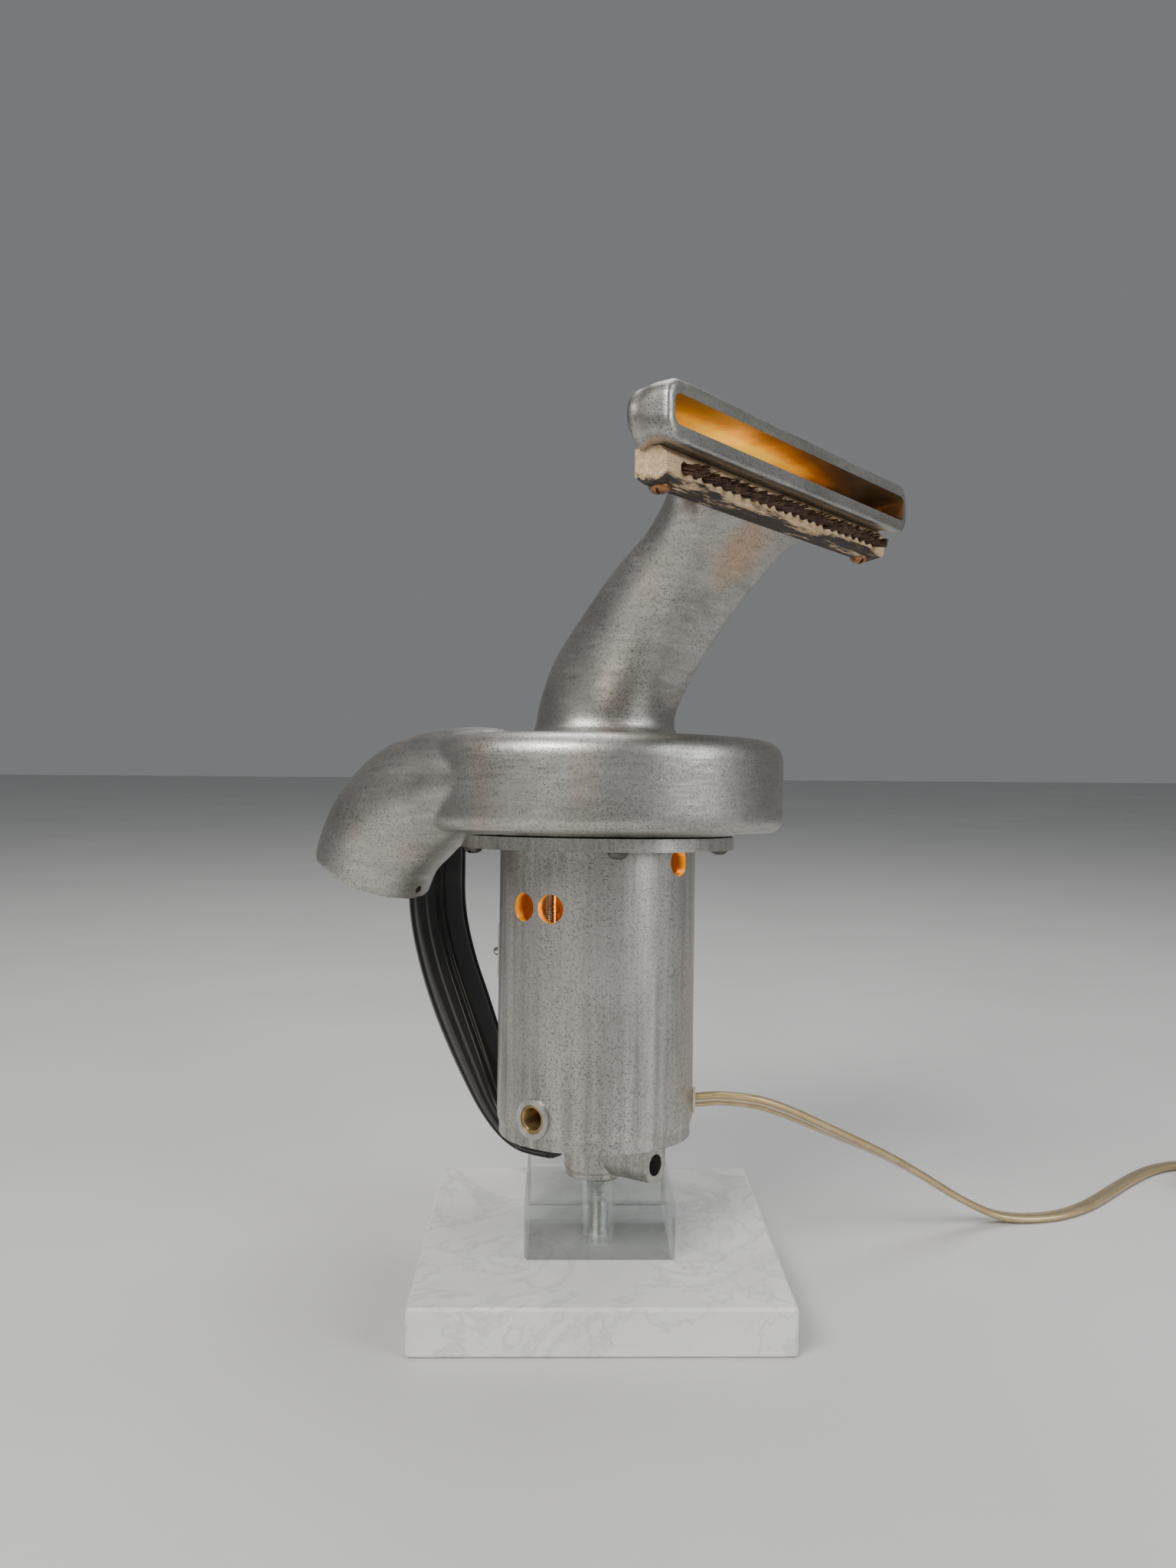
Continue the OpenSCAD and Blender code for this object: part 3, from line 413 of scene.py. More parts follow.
def metalLook(name, color, rough, wear, fine=900, metallic=1.0):
    look = Look(name, color, metallic=metallic, rough=rough)
    at = look.coords()
    blot = look.noise(at, 140, 5, 0.6)
    fineNoise = look.noise(at, fine, 3, 0.6)
    look.color(look.mix(look.ramp(blot, [(0.4, 0.0), (0.68, 1.0)]), color, wear))
    look.roughness(blot, max(0.05, rough - 0.12), rough + 0.2)
    look.bump(fineNoise, 0.00006, 0.6)
    return look.mat


def marbleLook():
    look = Look("marble", (0.87, 0.865, 0.85), rough=0.22, Subsurface_Weight=0.08, Subsurface_Scale=0.004)
    at = look.coords()
    bend = look.noise(at, 9, 5, 0.6, 1.2)
    vein = look.noise(at, 13, 8, 0.65, 2.2)
    line = look.math("ABSOLUTE", look.math("SUBTRACT", vein, 0.5))
    base = look.ramp(bend, [(0.3, (0.76, 0.75, 0.725)), (0.55, (0.87, 0.86, 0.83)),
                            (0.8, (0.925, 0.915, 0.885))])
    base = look.mix(look.math("MULTIPLY", look.ramp(line, [(0.0, 1.0), (0.035, 0.0)]), 0.42), base,
                    (0.48, 0.48, 0.475))
    grain = look.noise(at, 420, 4, 0.7)
    base = look.mix(look.math("MULTIPLY", look.ramp(grain, [(0.55, 0.0), (0.8, 1.0)]), 0.35), base,
                    (0.66, 0.655, 0.64))
    rust = look.math("MULTIPLY", look.ramp(look.cells(at, 46), [(0.03, 1.0), (0.09, 0.0)]),
                     look.ramp(look.noise(at, 17, 2), [(0.52, 0.0), (0.6, 1.0)]))
    look.color(look.mix(look.math("MULTIPLY", rust, 0.6), base, (0.36, 0.25, 0.14)))
    look.roughness(grain, 0.16, 0.34)
    look.bump(look.ramp(grain, [(0.6, 1.0), (0.75, 0.0)]), 0.00015, 0.5)
    return look.mat


def glassLook(name, tint, rough=0.0, alpha=1.0):
    look = Look(name, tint, rough=rough, Transmission_Weight=1.0, IOR=1.5, Alpha=alpha)
    at = look.coords()
    look.bump(look.noise(at, 14, 2), 0.0001, 0.25)
    smear = look.noise(at, 60, 4, 0.6)
    look.color(look.ramp(smear, [(0.3, tuple(c * 0.985 for c in tint)), (0.7, tint)]))
    look.roughness(smear, rough, rough + 0.02)
    return look.mat


def bakeliteLook():
    look = Look("bakelite", (0.016, 0.014, 0.013), rough=0.1, Coat_Weight=0.5, Coat_Roughness=0.04)
    at = look.coords(matrix=bodyTurn)
    haze = look.noise(at, 70, 5, 0.65)
    lines = look.noise(look.coords((700, 700, 22), bodyTurn), 1, 3, 0.55, 0.6)
    scratch = look.math("MULTIPLY", look.ramp(lines, [(0.74, 0.0), (0.77, 1.0)]),
                        look.ramp(haze, [(0.5, 0.0), (0.6, 1.0)]))
    base = look.ramp(haze, [(0.3, (0.010, 0.009, 0.008)), (0.75, (0.018, 0.016, 0.014))])
    look.color(look.mix(look.math("MULTIPLY", scratch, 0.15), base, (0.12, 0.115, 0.11)))
    look.roughness(haze, 0.07, 0.20)
    look.bump(haze, 0.00004, 0.25)
    return look.mat


def woodLook():
    look = Look("sawnWood", (0.66, 0.49, 0.30), rough=0.7)
    turned = Matrix.Rotation(math.radians(1), 4, "Z") @ bodyTurn
    at = look.coords(matrix=turned)
    grain = look.noise(look.coords((60, 900, 900), turned), 1, 5, 0.6, 0.4)
    saw = look.noise(look.coords((1500, 500, 500), turned), 1, 2, 0.5)
    x, y, z = look.separate(at)
    base = look.ramp(grain, [(0.3, (0.42, 0.27, 0.13)), (0.5, (0.64, 0.46, 0.27)),
                             (0.72, (0.78, 0.61, 0.40))])
    base = look.mix(look.math("MULTIPLY", look.ramp(saw, [(0.42, 1.0), (0.52, 0.0)]), 0.35), base,
                    (0.42, 0.27, 0.14))
    low = look.math("DIVIDE", look.math("SUBTRACT", 0.2779, z), 0.003)
    tatter = look.noise(look.coords((45, 260, 260), turned), 1, 6, 0.72)
    rag = look.math("ADD", look.math("MULTIPLY", low, 0.7), look.math("MULTIPLY",
                                                                      look.math("SUBTRACT", tatter,
                                                                                0.5), 3.4))
    base = look.mix(look.ramp(rag, [(0.12, 0.0), (0.5, 1.0)]), base, (0.030, 0.019, 0.012))
    look.color(base)
    look.bump(grain, 0.0003, 0.8)
    look.bump(saw, 0.00012, 0.6)
    return look.mat


def cordLook():
    look = Look("cordVinyl", (0.88, 0.80, 0.54), rough=0.12, Transmission_Weight=0.85, IOR=1.45,
                Coat_Weight=0.4,
                Coat_Roughness=0.12)
    at = look.coords()
    haze = look.noise(at, 90, 4, 0.6)
    look.color(look.ramp(haze, [(0.3, (0.82, 0.72, 0.44)), (0.7, (0.93, 0.87, 0.66))]))
    look.roughness(haze, 0.14, 0.3)
    look.bump(haze, 0.0001, 0.3)
    return look.mat


def plainLook(name, color, rough, fleck, bumpSize=0.00008, scale=400, **values):
    look = Look(name, color, rough=rough, **values)
    at = look.coords()
    grain = look.noise(at, scale, 4, 0.6)
    look.color(look.ramp(grain, [(0.35, color), (0.75, fleck)]))
    look.roughness(grain, max(0.04, rough - 0.08), rough + 0.12)
    look.bump(grain, bumpSize, 0.6)
    return look.mat


looks = {
    "castDrum": castLook("castDrum", (60, 60, 420), 0.35),
    "castHousing": castLook("castHousing", (190, 190, 7), 0.75, True),
    "mouthInside": mouthLook(),
    "marble": marbleLook(),
    "blockGlass": glassLook("blockGlass", (0.84, 0.945, 0.91), 0.0, 0.45),
    "bulbGlass": glassLook("bulbGlass", (1.0, 0.72, 0.34)),
    "stemGlass": glassLook("stemGlass", (0.93, 0.94, 0.93)),
    "zinc": metalLook("zinc", (0.56, 0.55, 0.52), 0.34, (0.36, 0.34, 0.31)),
    "chrome": metalLook("chrome", (0.86, 0.86, 0.87), 0.08, (0.74, 0.74, 0.74)),
    "nickel": metalLook("nickel", (0.86, 0.83, 0.76), 0.26, (0.60, 0.56, 0.48)),
    "darkSteel": metalLook("darkSteel", (0.15, 0.14, 0.13), 0.38, (0.07, 0.06, 0.055)),
    "brass": metalLook("brass", (0.46, 0.33, 0.15), 0.34, (0.20, 0.135, 0.06)),
    "copperBrown": metalLook("copperBrown", (0.50, 0.25, 0.12), 0.3, (0.22, 0.10, 0.05)),
    "copper": metalLook("copper", (0.88, 0.68, 0.40), 0.32, (0.70, 0.50, 0.26), 2200),
    "bakelite": bakeliteLook(),
    "wood": woodLook(),
    "vinyl": cordLook(),
    "felt": plainLook("felt", (0.10, 0.13, 0.11), 0.95, (0.16, 0.20, 0.17), 0.0004, 900),
    "bristle": plainLook("bristle", (0.050, 0.026, 0.017), 0.45, (0.16, 0.085, 0.045), 0.00004, 300),
    "blackPlastic": plainLook("blackPlastic", (0.03, 0.03, 0.03), 0.45, (0.045, 0.045, 0.045)),
    "phenolic": plainLook("phenolic", (0.12, 0.06, 0.03), 0.5, (0.17, 0.09, 0.05)),
    "fibre": plainLook("fibre", (0.28, 0.20, 0.13), 0.7, (0.36, 0.27, 0.18)),
    "ivory": plainLook("ivory", (0.80, 0.74, 0.58), 0.35, (0.72, 0.64, 0.46)),
    "leadGold": plainLook("leadGold", (0.62, 0.50, 0.24), 0.3, (0.7, 0.6, 0.36)),
}
filament = Look("filament", (1.0, 0.55, 0.16), rough=0.5)
filament.set("Emission Color", (1.0, 0.52, 0.14, 1))
filament.set("Emission Strength", 18)
looks["filament"] = filament.mat

nodeLooks = {
    "marble_base": "marble", "sink_cover": "felt", "glass_block": "blockGlass", "base_washer": "zinc",
    "base_nut": "zinc", "seat_washer": "chrome", "inner_washer": "zinc", "inner_nut": "zinc",
    "port_rings": "zinc", "stud_nuts": "zinc", "brush_bar": "wood", "switch_plate": "nickel",
    "switch_body": "phenolic", "switch_bushing": "nickel", "switch_nut": "nickel",
    "switch_lever": "nickel", "switch_pin": "zinc", "socket_cap": "brass", "socket_shell": "brass",
    "socket_liner": "fibre", "socket_core": "blackPlastic", "screw_shell": "brass",
    "bulb_base": "brass", "bulb_contact": "zinc", "bulb_glass": "bulbGlass", "bulb_stem": "stemGlass",
    "bulb_filament": "filament", "lead_neutral": "leadGold", "lead_live": "leadGold",
    "lead_switched": "blackPlastic", "cord_bushing": "ivory", "cord_tie": "blackPlastic",
    "plug_blades": "brass", "motor_housing": "castHousing", "handle_screws": "darkSteel",
}
for nodeName, lookName in nodeLooks.items():
    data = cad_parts[nodeName].data
    data.materials.clear()
    data.materials.append(looks[lookName])
print("stage: materials")


cordSet = {"width": 7.2, "thick": 3.54, "coil": (366, 92), "outer": 42.7, "inner": 35.3, "turns": 5,
           "layers": (1.8, 5.6, 9.4), "wire": 1.15}
cordPoints = [
    (41.4, -5.3, 80), (47, -5.7, 80.6), (54.7, -5.5, 80.8), (69.8, -4, 78.6), (84.6, 1, 72.5),
    (101.8, 8.5, 63.2), (118.9, 17, 53.7), (137.1, 26.5, 43), (155.8, 36.5, 30.4),
    (174.6, 45.5, 17.2), (193.6, 53.3, 6.2), (208, 55.6, 2.4), (224, 58, 1.8), (238, 64, 1.8),
    (252, 74, 1.8), (266, 87, 1.8), (280, 100.5, 1.8), (295, 114, 1.8), (309, 124, 1.8),
    (324, 129.8, 1.8), (345, 131, 1.8)]
tailPoints = [(408.2, 80, 8.6), (406.4, 70, 6.9), (405, 58, 6)]


def ease(a, b, t):
    t = max(0.0, min(1.0, t))
    return a + (b - a) * t * t * (3 - 2 * t)


def coilPoints(step=12):
    s = cordSet
    out = []
    total = s["turns"] * 360 + 90
    for travelled in range(0, total + 1, step):
        turn, part = divmod(travelled, 360)
        change = (part - 265) / 70
        plan = [(s["outer"], s["inner"], 0, 0), (s["inner"], s["inner"], 0, 1),
                (s["inner"], s["outer"], 1, 1),
                (s["outer"], s["outer"], 1, 2), (s["outer"], s["outer"], 2, 2), (s["outer"], s["outer"], 2,
                                                                                 2)][turn]
        r = ease(plan[0], plan[1], change)
        z = ease(s["layers"][plan[2]], s["layers"][plan[3]], change)
        q = math.radians(90 - travelled)
        out.append((s["coil"][0] + r * math.cos(q), s["coil"][1] + r * math.sin(q), z))
    return out


def makeCord():
    s = cordSet
    coil = coilPoints()
    points = [Vector(p) for p in cordPoints + coil + tailPoints]
    fine = [Vector(p) for p in smoothed([tuple(p) for p in points], 3)]
    travelled = [0.0]
    for a, b in zip(fine, fine[1:]):
        travelled.append(travelled[-1] + (b - a).length)
    print("cord length", round(travelled[-1], 1))
    sideways = []
    for i, p in enumerate(fine):
        heading = (fine[min(i + 1, len(fine) - 1)] - fine[max(i - 1, 0)]).normalized()
        side = heading.cross(Vector((0, 0, 1))).normalized()
        up = side.cross(heading)
        sideways.append((p, side, up, travelled[i]))

    def twist(run):
        return math.radians(ease(62, 0, run / 150))

    half, r = s["width"] / 2 - s["thick"] / 2, s["thick"] / 2
    outline = []
    for k in range(20):
        q = 2 * math.pi * (k + 0.5) / 20
        u = math.copysign(half, math.cos(q)) + r * math.cos(q)
        v = r * math.sin(q)
        pinch = 1 - 0.22 * math.exp(-((u / 0.9) ** 2))
        outline.append((u, v * pinch))

    def tube(section, name, look):
        bm = bmesh.new()
        rings = []
        for p, side, up, run in sideways:
            a = twist(run)
            c, d = math.cos(a), math.sin(a)
            rings.append([tuple(p + side * (u * c - v * d) + up * (u * d + v * c)) for u, v in section])
        skin(bm, rings)
        return finishMesh(bm, name, mm, [looks[look]], angle=60)

    outer = tube(outline, "cord_vinyl", "vinyl")
    place(outer, "cord_vinyl", "clear_cord", ["cord", "cord_coil", "cord_tail"])
    pieces = []
    for sign, name in ((-1, "cord_wire_left"), (1, "cord_wire_right")):
        ring = [(sign * half + s["wire"] * math.cos(2 * math.pi * k / 10),
                 s["wire"] * math.sin(2 * math.pi * k / 10))
                for k in range(10)]
        wire = tube(ring, name, "copper")
        place(wire, name, "clear_cord", [])
        pieces.append(wire)
    route = [tuple(Vector(p) * 0.001) for p in fine]
    return outer, pieces, route, travelled[-1] * 0.001


cord, cordWires, cordRoute, cordLength = makeCord()
print("stage: cord")


def makePlug():
    bm = bmesh.new()
    rings = []
    for y, w, t in ((57.99, 5.4, 4.2), (57.5, 5.9, 4.4), (52, 6.0, 4.4), (47, 6.4, 4.4), (44.3, 7.0, 4.5),
                    (43.6, 8.5, 5.2), (41, 11, 5.8), (36, 12, 6.0), (30, 12, 6.0), (28.6, 11.6, 5.7), (28.0,
                                                                                                       10.8,
                                                                                                       5.1)):
        ring = []
        for k in range(40):
            q = 2 * math.pi * (k + 0.5) / 40
            c, s = math.cos(q), math.sin(q)
            ring.append((405 + w * math.copysign(abs(c) ** 0.45, c), y,
                         6 + t * math.copysign(abs(s) ** 0.45, s)))
        rings.append(ring)
    skin(bm, rings)
    plug = finishMesh(bm, "plug_moulded", mm, [looks["vinyl"]], angle=50)
    return place(plug, "plug_moulded", "clear_cord", ["plug_body"])


plug = makePlug()
print("stage: plug")


fan = {"horn": [(8, 171.7, -90, 23, 21.4), (24, 171.7, -90, 24, 22.3), (49.6, 165.4, -110, 26.6, 26.6),
                (66, 155.2, -134, 27.6, 27.6), (76.8, 143.3, -149, 26.8, 26.8), (82.6, 130.8, -155, 26.2,
                                                                                 26.2)],
       "hornX": -57, "wall": 4.5, "mouthWall": 5.6, "endWall": 3.5, "voxel": 1.25}
top = body["fanHigh"]
level = body["mouthLevel"]
fan["nozzle"] = [
    (-3.5, top - 6, 0, 35, 35), (-3.5, top + 0.5, 0, 34.5, 34.5), (-3.6, top + 4, 2, 31.3, 31.3),
    (-4.2, top + 12, 10, 30.1, 29.7), (-9.6, top + 25, 28, 29.9, 27.5), (-21.5, top + 41, 38, 31.2, 22.5),
    (-38.8, top + 61, 41, 34.6, 16), (-56.5, top + 77.5, 43, 37, 11.5), (-70, level - 14, 50, 46, 10.5),
    (-77.5, level - 5.5, 64, 80, 10.5), (-83, level - 1, 82, 95, 11), (-88, level + 0.5, 90, 96, 10.5),
    (-95.5, level + 0.5, 90, 96, 10.5), (-97, level, 90, 96, 11), (-101.5, level, 90, 96, 11)]


# As slotRing, but a flat section may have corners of a smaller radius.
def roundSlotRing(station, x, count, corner=None):
    y, z, angle, a, b = station
    r = min(a, b) if corner is None else min(corner, a, b)
    c, s = math.cos(math.radians(angle)), math.sin(math.radians(angle))
    ring = []
    for k in range(count):
        q = 2 * math.pi * (k + 0.5) / count
        u = math.copysign(a - r, math.cos(q)) + r * math.cos(q)
        v = math.copysign(b - r, math.sin(q)) + r * math.sin(q)
        ring.append((x + u, y + v * c, z + v * s))
    return ring


def drumProfile(r, low, high, lowRound, highRound):
    out = [(0, low)]
    for k in range(9):
        q = math.radians(-90 + 90 * k / 8)
        out.append((r - lowRound + lowRound * math.cos(q), low + lowRound + lowRound * math.sin(q)))
    for k in range(13):
        q = math.radians(90 * k / 12)
        out.append((r - highRound + highRound * math.cos(q), high - highRound + highRound * math.sin(q)))
    return out + [(0, high)]


def nozzleRings(stations, wall, endWall, past, count, steps):
    rings = []
    for st in smoothed(stations, steps):
        corner = None
        if st[3] > 60:
            corner = ease(st[4], 7.5, (-87 - st[0]) / 7) - wall * 0.75
        inner = (st[0], st[1], st[2], st[3] - endWall, st[4] - wall)
        rings.append(roundSlotRing(inner, 0, count, corner))
    if past:
        st = stations[-1]
        rings.append(roundSlotRing((st[0] - past, st[1], 90, st[3] - endWall, st[4] - wall), 0, count,
                                   7.5 - wall * 0.75))
    return rings


def hornRings(wall, past, count, steps):
    rings = [slotRing((s[0], s[1], s[2], s[3] - wall, s[4] - wall), fan["hornX"], count)
             for s in smoothed(fan["horn"], steps)]
    if past:
        y, z, angle, a, b = fan["horn"][-1]
        q = math.radians(angle)
        rings.append(slotRing((y - past * math.sin(q), z + past * math.cos(q), angle, a - wall, b - wall),
                              fan["hornX"], count))
    return rings


def turned(rings, degrees):
    m = Matrix.Rotation(math.radians(degrees), 4, "Z")
    return [[tuple(m @ Vector(p)) for p in ring] for ring in rings]


def boxMesh(bm, low, high, slot=0, place=None):
    made = bmesh.ops.create_cube(bm, size=1)["verts"]
    for v in made:
        v.co = Vector([low[i] + (v.co[i] + 0.5) * (high[i] - low[i]) for i in range(3)])
        if place is not None:
            v.co = place @ v.co
    for f in {f for v in made for f in v.link_faces}:
        f.material_index = slot


def makeFanHousing():
    b = body
    bm = bmesh.new()
    revolve(bm, drumProfile(b["fanRadius"], b["fanLow"] + 2.2, b["fanHigh"], 6, 9), 160)
    revolve(bm, [(0, b["fanLow"]), (60, b["fanLow"]), (60, b["fanLow"] + 4), (0, b["fanLow"] + 4)], 128)
    skin(bm, hornRings(0, 0, 72, 6))
    skin(bm, turned(nozzleRings(fan["nozzle"], 0, 0, 0, 96, 6), -1))
    ear = b["fanLow"] + 2.2
    r, thick = b["earRadius"], b["earThick"]
    boxMesh(bm, (-r, 62, ear), (r, b["earMiddle"], ear + thick))
    revolve(bm, [(0, 0), (r, 0), (r, thick), (0, thick)], 48,
            place=Matrix.Translation((0, b["earMiddle"], ear)))
    shell = finishMesh(bm, "fanOuter", Matrix.Identity(4), [looks["castDrum"]])
    mod = shell.modifiers.new("remesh", "REMESH")
    mod.mode = "VOXEL"
    mod.voxel_size = fan["voxel"]
    mod.use_smooth_shade = True
    soft = shell.modifiers.new("soft", "SMOOTH")
    soft.factor = 0.5
    soft.iterations = 5
    shell = evaluated(shell, "fanOuter", [looks["castDrum"]])
    print("fan outer faces", len(shell.data.polygons))

    def cutter(build, look="mouthInside"):
        bm = bmesh.new()
        build(bm)
        return finishMesh(bm, "cutter", Matrix.Identity(4), [looks[look]])

    low = b["fanLow"]
    inside = b["fanRadius"] - fan["wall"]
    parts = [
        lambda bm: revolve(bm, drumProfile(inside, low + 6.7, b["fanHigh"] - 4.5, 4, 4.5), 96),
        lambda bm: revolve(bm, [(0, low - 1), (b["motorInside"], low - 1), (b["motorInside"], low + 8),
                                (0, low + 8)], 96),
        lambda bm: skin(bm, hornRings(fan["wall"], 4, 64, 5)),
        lambda bm: skin(bm, turned(nozzleRings(fan["nozzle"], fan["mouthWall"], fan["endWall"], 4, 80, 5),
                                   -1)),
    ]
    for build in parts:
        shell = cut(shell, cutter(build), "fanOuter")
    seat = Matrix.Rotation(math.radians(-1), 4, "Z")
    outside = [
        lambda bm: boxMesh(bm, (-87.5, -95, 267.5), (87.5, -81, 287.5), 0, seat),
        lambda bm: revolve(bm, [(0, -8), (1.75, -8), (1.75, 8), (0, 8)], 24,
                           place=Matrix.Translation((-54, 82.6,
                                                     130.8)) @ Matrix.Rotation(math.radians(-155), 4, "X")
                           @ Matrix.Translation((0, 26.2, -5)) @ Matrix.Rotation(math.radians(90), 4, "X")),
        lambda bm: revolve(bm, [(0, low), (2.2, low), (2.2, low + 14), (0, low + 14)], 24,
                           place=Matrix.Translation((0, b["earMiddle"], 0))),
    ]
    for angle in (45, 135, 225, 315):
        outside.append(lambda bm, a=angle: revolve(
            bm, [(0, low - 1), (2.4, low - 1), (2.4, low + 5.4), (0, low + 5.4)], 24,
            place=Matrix.Rotation(math.radians(a), 4, "Z") @ Matrix.Translation((b["screwCircle"], 0, 0))))
    for build in outside:
        shell = cut(shell, cutter(build, "castDrum"), "fanOuter")
    shell.data.transform(bodyPlace)
    shell.name = "fan_casting"
    sharpen(shell, 38)
    print("fan faces", len(shell.data.polygons), [m.name for m in shell.data.materials])
    return place(shell, "fan_casting", "cast_aluminium", ["fan_housing"])


makeFanHousing()
print("stage: fan housing")


def threadRings(radius, depth, pitch, low, high, count, perPitch=8):
    rings = []
    steps = max(2, int((high - low) / pitch * perPitch))
    for i in range(steps + 1):
        z = low + (high - low) * i / steps
        ring = []
        for k in range(count):
            phase = (z / pitch - k / count) % 1
            r = radius - depth * abs(2 * phase - 1)
            ring.append((r * math.cos(2 * math.pi * k / count), r * math.sin(2 * math.pi * k / count), z))
        rings.append(ring)
    return rings


threads = {
    "rod": {"radius": 5.1, "bore": 3.2, "depth": 0.45, "pitch": 1.0, "low": 2.65, "high": 87.3, "sides": 36},
    "stud": {"radius": 2.4, "out": 33.3, "depth": 0.32, "pitch": 0.8, "low": 44, "high": 140.4, "sides": 20},
    "port": {"radius": 6, "bore": 4.8, "level": 31.5, "proud": 0.3, "depth": 0.35, "pitch": 1.0, "long": 15,
             "sides": 36}}


def circle(radius, count, level):
    return [(radius * math.cos(2 * math.pi * k / count), radius * math.sin(2 * math.pi * k / count), level)
            for k in range(count)]


def makeRod():
    t = threads["rod"]
    bm = bmesh.new()
    outer = threadRings(t["radius"], t["depth"], t["pitch"], t["low"], t["high"], t["sides"], 6)
    inner = [circle(t["bore"], t["sides"], z) for z in (t["high"], t["low"])]
    skin(bm, outer + inner, closed=True)
    rod = finishMesh(bm, "rod_threaded", rodPlace, [looks["zinc"]], angle=70)
    return place(rod, "rod_threaded", "zinc_steel", ["base_rod"])


def makeStuds():
    t = threads["stud"]
    bm = bmesh.new()
    for s in (-1, 1):
        rings = threadRings(t["radius"], t["depth"], t["pitch"], t["low"], t["high"], t["sides"], 6)
        skin(bm, [[(x + t["out"] * s, y, z) for x, y, z in ring] for ring in rings])
    studs = finishMesh(bm, "studs_threaded", bodyPlace, [looks["zinc"]], angle=70)
    return place(studs, "studs_threaded", "zinc_steel", ["motor_studs"])


def makePortTubes():
    t = threads["port"]
    bm = bmesh.new()
    for s in (-1, 1):
        matrix = radial(90 - s * 90, t["level"], body["motorRadius"] - t["long"] + t["proud"])
        inner = threadRings(t["bore"], t["depth"], t["pitch"], 0, t["long"], t["sides"], 8)
        outer = [circle(t["radius"], t["sides"], z) for z in (t["long"], 0)]
        skin(bm, [[tuple(matrix @ Vector(p)) for p in ring] for ring in inner + outer], closed=True)
    tubes = finishMesh(bm, "port_tubes_threaded", bodyPlace, [looks["brass"]], angle=70)
    return place(tubes, "port_tubes_threaded", "brass", ["port_tubes"])


# Slotted round-head screws. A spot is a matrix: the head's underside at its origin, the shank along +z.
def roundScrews(name, look, slot, nodes, spots, head, shank, length, whole, turn=20):
    made = None
    for i, spot in enumerate(spots):
        bm = bmesh.new()
        rise = head * 0.36
        profile = [(0, -rise)]
        for k in range(1, 11):
            q = math.radians(90 * k / 10)
            drop = -rise * math.cos(q) ** 0.9 if k < 10 else -0.05 * head
            profile.append((head / 2 * math.sin(q) ** 0.85, drop))
        profile += [(head / 2, 0), (shank / 2, 0), (shank / 2, length), (0, length)]
        revolve(bm, profile, 40)
        screw = finishMesh(bm, "screw", Matrix.Identity(4), [looks[look]])
        bm = bmesh.new()
        boxMesh(bm, (-head, -head * 0.07, -rise * 1.3), (head, head * 0.07, -rise * 0.5), 0,
                Matrix.Rotation(math.radians(turn + 37 * i), 4, "Z"))
        slotCutter = finishMesh(bm, "slot", Matrix.Identity(4), [looks[look]])
        screw = cut(screw, slotCutter, "screw")
        screw.data.transform(whole @ spot)
        if made is None:
            made = screw
        else:
            bm = bmesh.new()
            bm.from_mesh(made.data)
            bm.from_mesh(screw.data)
            bm.to_mesh(made.data)
            bm.free()
            old = screw.data
            bpy.data.objects.remove(screw)
            bpy.data.meshes.remove(old)
    made.name = name
    sharpen(made)
    return place(made, name, slot, nodes)


makeRod()
makeStuds()
makePortTubes()
roundScrews(
    "flange_screws_slotted", "darkSteel", "dark_steel", ["flange_screws"],
    [Matrix.Rotation(math.radians(a), 4, "Z") @ Matrix.Translation((body["screwCircle"], 0,
                                                                    body["flangeLow"])) for a in (45, 135,
                                                                                                  225, 315)],
    8.5, 4.8, 10.4, bodyPlace)
roundScrews(
    "brush_screws_slotted", "copperBrown", "copper_brown", ["brush_screws"],
    [Matrix.Translation((s * 79, -86, 275.5)) for s in (-1, 1)], 8, 3.4, 15.4, nozzlePlace)
roundScrews(
    "plate_screws_slotted", "nickel", "nickel", ["plate_screws"],
    [Matrix.Translation((s * 14, 42.1, 96)) @ Matrix.Rotation(math.radians(90), 4, "X") for s in (-1, 1)],
    5.6, 3, 5.2, bodyPlace)
print("stage: threads and screws")


brush = {"count": 24, "barLength": 174, "face": -94.5, "level": 281, "out": 6.5, "radius": 2.35, "hairs": 40}


def makeTufts():
    b = brush
    bm = bmesh.new()
    for i in range(b["count"]):
        x0 = (i - (b["count"] - 1) / 2) * (b["barLength"] - 16) / b["count"]
        leanX = random.uniform(-0.4, 1.5)
        leanZ = random.uniform(-1.3, 0.1)
        for j in range(b["hairs"]):
            q = random.uniform(0, 2 * math.pi)
            r = b["radius"] * math.sqrt(random.uniform(0, 1)) * 0.86
            spread = random.uniform(0.95, 1.18)
            root = Vector((x0 + r * math.cos(q), b["face"] + 3.5, b["level"] + r * math.sin(q)))
            tip = Vector((x0 + r * spread * math.cos(q + 0.8) + leanX,
                          b["face"] - b["out"] * random.uniform(0.8, 1.0),
                          b["level"] + r * spread * math.sin(q + 0.8) + leanZ))
            middle = (root + tip) / 2 + Vector((random.uniform(-0.3, 0.3), 0, random.uniform(-0.3, 0.3)))
            rings = []
            for point, width in ((root, 0.3), (middle, 0.29), (tip, 0.16)):
                rings.append([(point.x + width * math.cos(a), point.y, point.z + width * math.sin(a))
                              for a in (0.3, 2.4, 4.5)])
            skin(bm, rings)
    tufts = finishMesh(bm, "brush_hair", nozzlePlace, [looks["bristle"]], angle=80)
    return place(tufts, "brush_hair", "bristle", ["brush_bristles"])


makeTufts()
print("stage: brush")


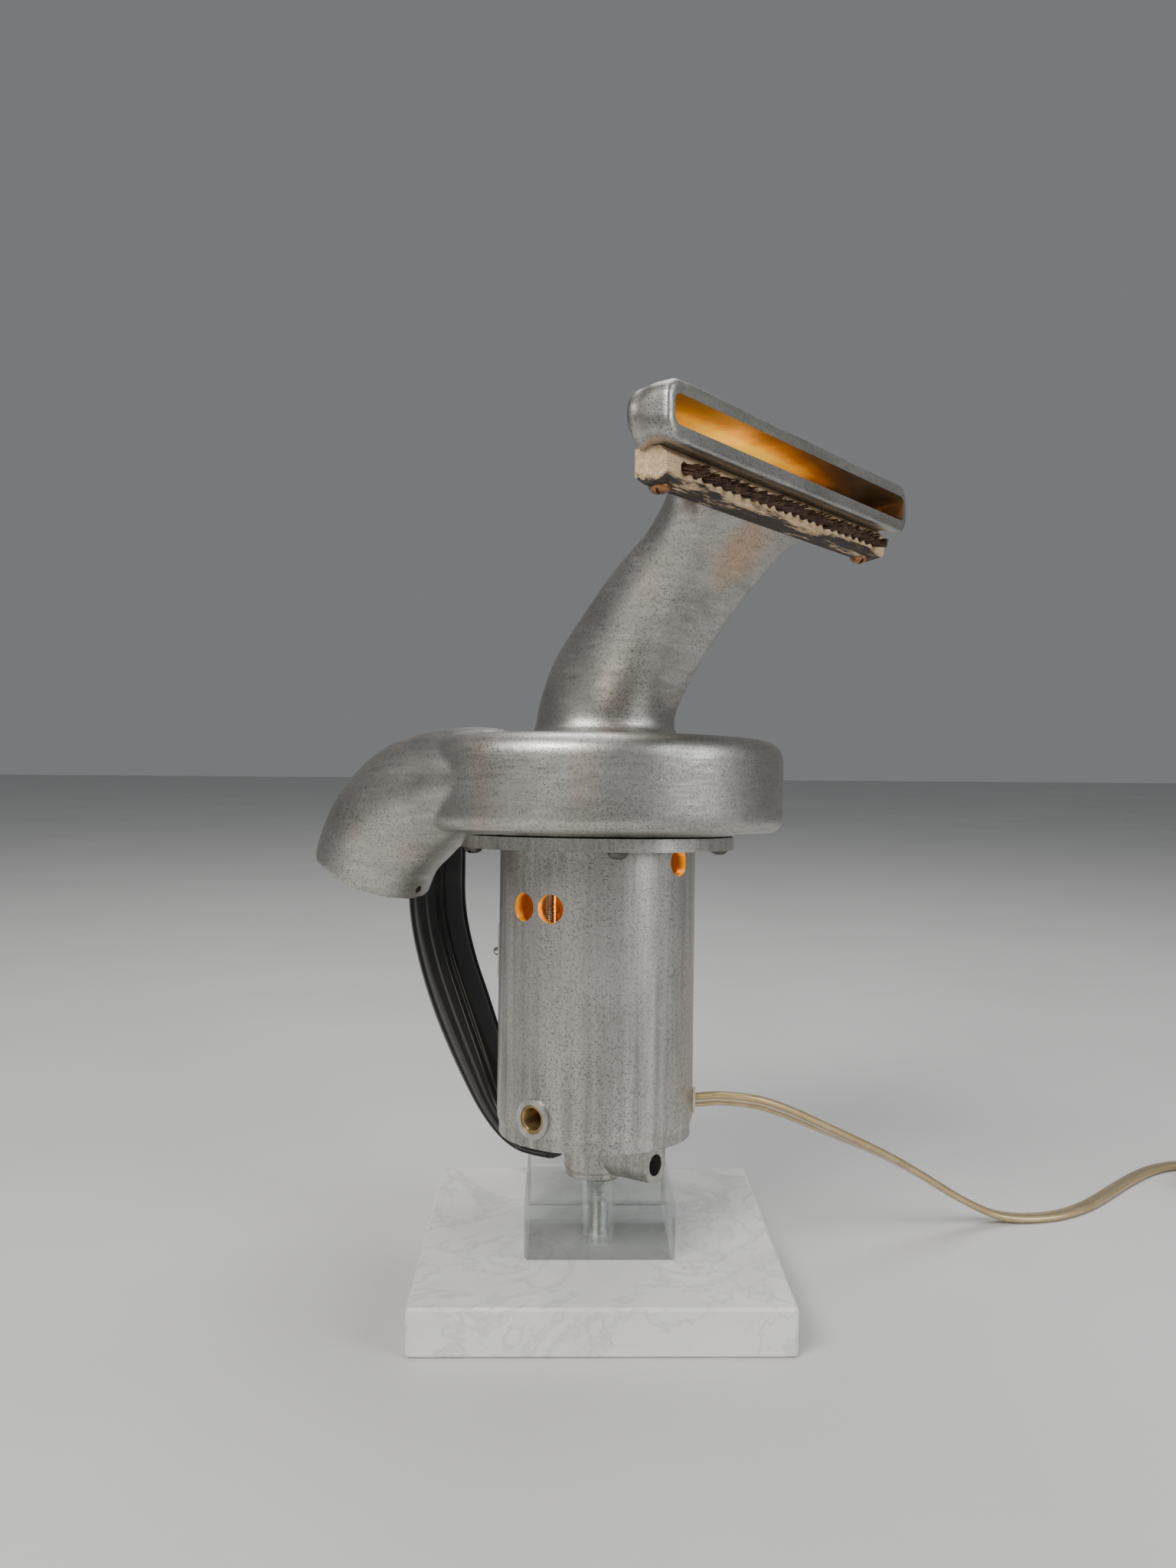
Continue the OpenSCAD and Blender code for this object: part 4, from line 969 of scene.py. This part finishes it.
handle = {"line": [
    (21, 6, -90, 7, 3), (32, 6, -88, 7.5, 3), (39.5, 8, -66, 8.5, 3.8), (47.6, 14, -44, 9.8, 5.4),
    (56, 24, -37, 11, 7), (64, 37.5, -31, 12.2, 8.8), (72.3, 52, -28, 13, 10), (80.3, 67, -26, 13.5, 10.7),
    (88, 83, -22, 13.5, 10.7), (94, 100, -13, 13.5, 10.7), (96.8, 115, -6, 13.5, 10.7),
    (97.2, 132, 0, 13.5, 10.7), (97.2, 151, 0, 13.5, 10.7)]}


# A rounded section with a raised rib along each face, as a moulded grip has.
def handleRing(station, count):
    y, z, angle, a, b = station
    c, s = math.cos(math.radians(angle)), math.sin(math.radians(angle))
    ring = []
    for k in range(count):
        q = 2 * math.pi * (k + 0.5) / count
        cu, sv = math.cos(q), math.sin(q)
        u = a * math.copysign(abs(cu) ** 0.62, cu)
        v = b * math.copysign(abs(sv) ** 0.62, sv)
        away = abs(u) / a
        groove = math.exp(-(((away - 0.60) / 0.085) ** 2))
        v *= 1 - 0.13 * groove
        side = abs(v) / b
        u *= 1 - 0.075 * math.exp(-(((side - 0.36) / 0.13) ** 2))
        ring.append((u, y + v * c, z + v * s))
    return ring


def makeHandle():
    bm = bmesh.new()
    skin(bm, [handleRing(st, 120) for st in smoothed(handle["line"], 10)])
    grip = finishMesh(bm, "handle_grip", bodyPlace, [looks["bakelite"]], angle=50)
    return place(grip, "handle_grip", "bakelite", ["handle"])


makeHandle()
print("stage: handle")


def makeStage():
    bm = bmesh.new()
    bmesh.ops.create_grid(bm, x_segments=1, y_segments=1, size=4)
    look = Look("floorPaper", (0.62, 0.61, 0.60), rough=0.75)
    at = look.coords()
    look.color(look.ramp(look.noise(at, 6, 3), [(0.3, (0.60, 0.595, 0.585)), (0.7, (0.64, 0.635, 0.625))]))
    floor = finishMesh(bm, "floor", Matrix.Identity(4), [look.mat], smooth=False)


def areaLight(name, where, target, size, power, color=(1, 1, 1)):
    data = bpy.data.lights.new(name, "AREA")
    data.shape = "RECTANGLE"
    data.size, data.size_y = size
    data.energy = power
    data.color = color
    obj = bpy.data.objects.new(name, data)
    bpy.context.scene.collection.objects.link(obj)
    obj.location = where
    obj.rotation_euler = (Vector(target) - Vector(where)).to_track_quat("-Z", "Y").to_euler()
    return obj


def pointLight(name, where, power, radius, color):
    data = bpy.data.lights.new(name, "POINT")
    data.energy = power
    data.shadow_soft_size = radius
    data.color = color
    obj = bpy.data.objects.new(name, data)
    bpy.context.scene.collection.objects.link(obj)
    obj.location = where
    return obj


def makeLights():
    world = bpy.data.worlds.new("world")
    world.use_nodes = True
    world.node_tree.nodes["Background"].inputs["Color"].default_value = (0.62, 0.64, 0.66, 1)
    world.node_tree.nodes["Background"].inputs["Strength"].default_value = 0.3
    bpy.context.scene.world = world
    areaLight("key", (-0.75, -0.95, 1.25), (0, 0, 0.2), (0.8, 0.6), 23, (1.0, 0.98, 0.95))
    areaLight("fill", (1.1, -0.7, 0.75), (0, 0, 0.2), (0.7, 0.9), 9, (0.94, 0.97, 1.0))
    areaLight("top", (0.1, 0.35, 1.35), (0, 0, 0.15), (1.0, 0.8), 9)
    amber = (1.0, 0.44, 0.08)
    pointLight("bulbLow", rodPlace @ Vector((0, 0, 165)), 0.06, 0.008, amber)
    pointLight("bulbHigh", bodyPlace @ Vector((0, -6, 175)), 0.16, 0.010, amber)
    pointLight("neckLight", nozzlePlace @ Vector((0, -72, 284)), 0.008, 0.004, amber)


makeStage()
makeLights()
print("stage: floor and light")
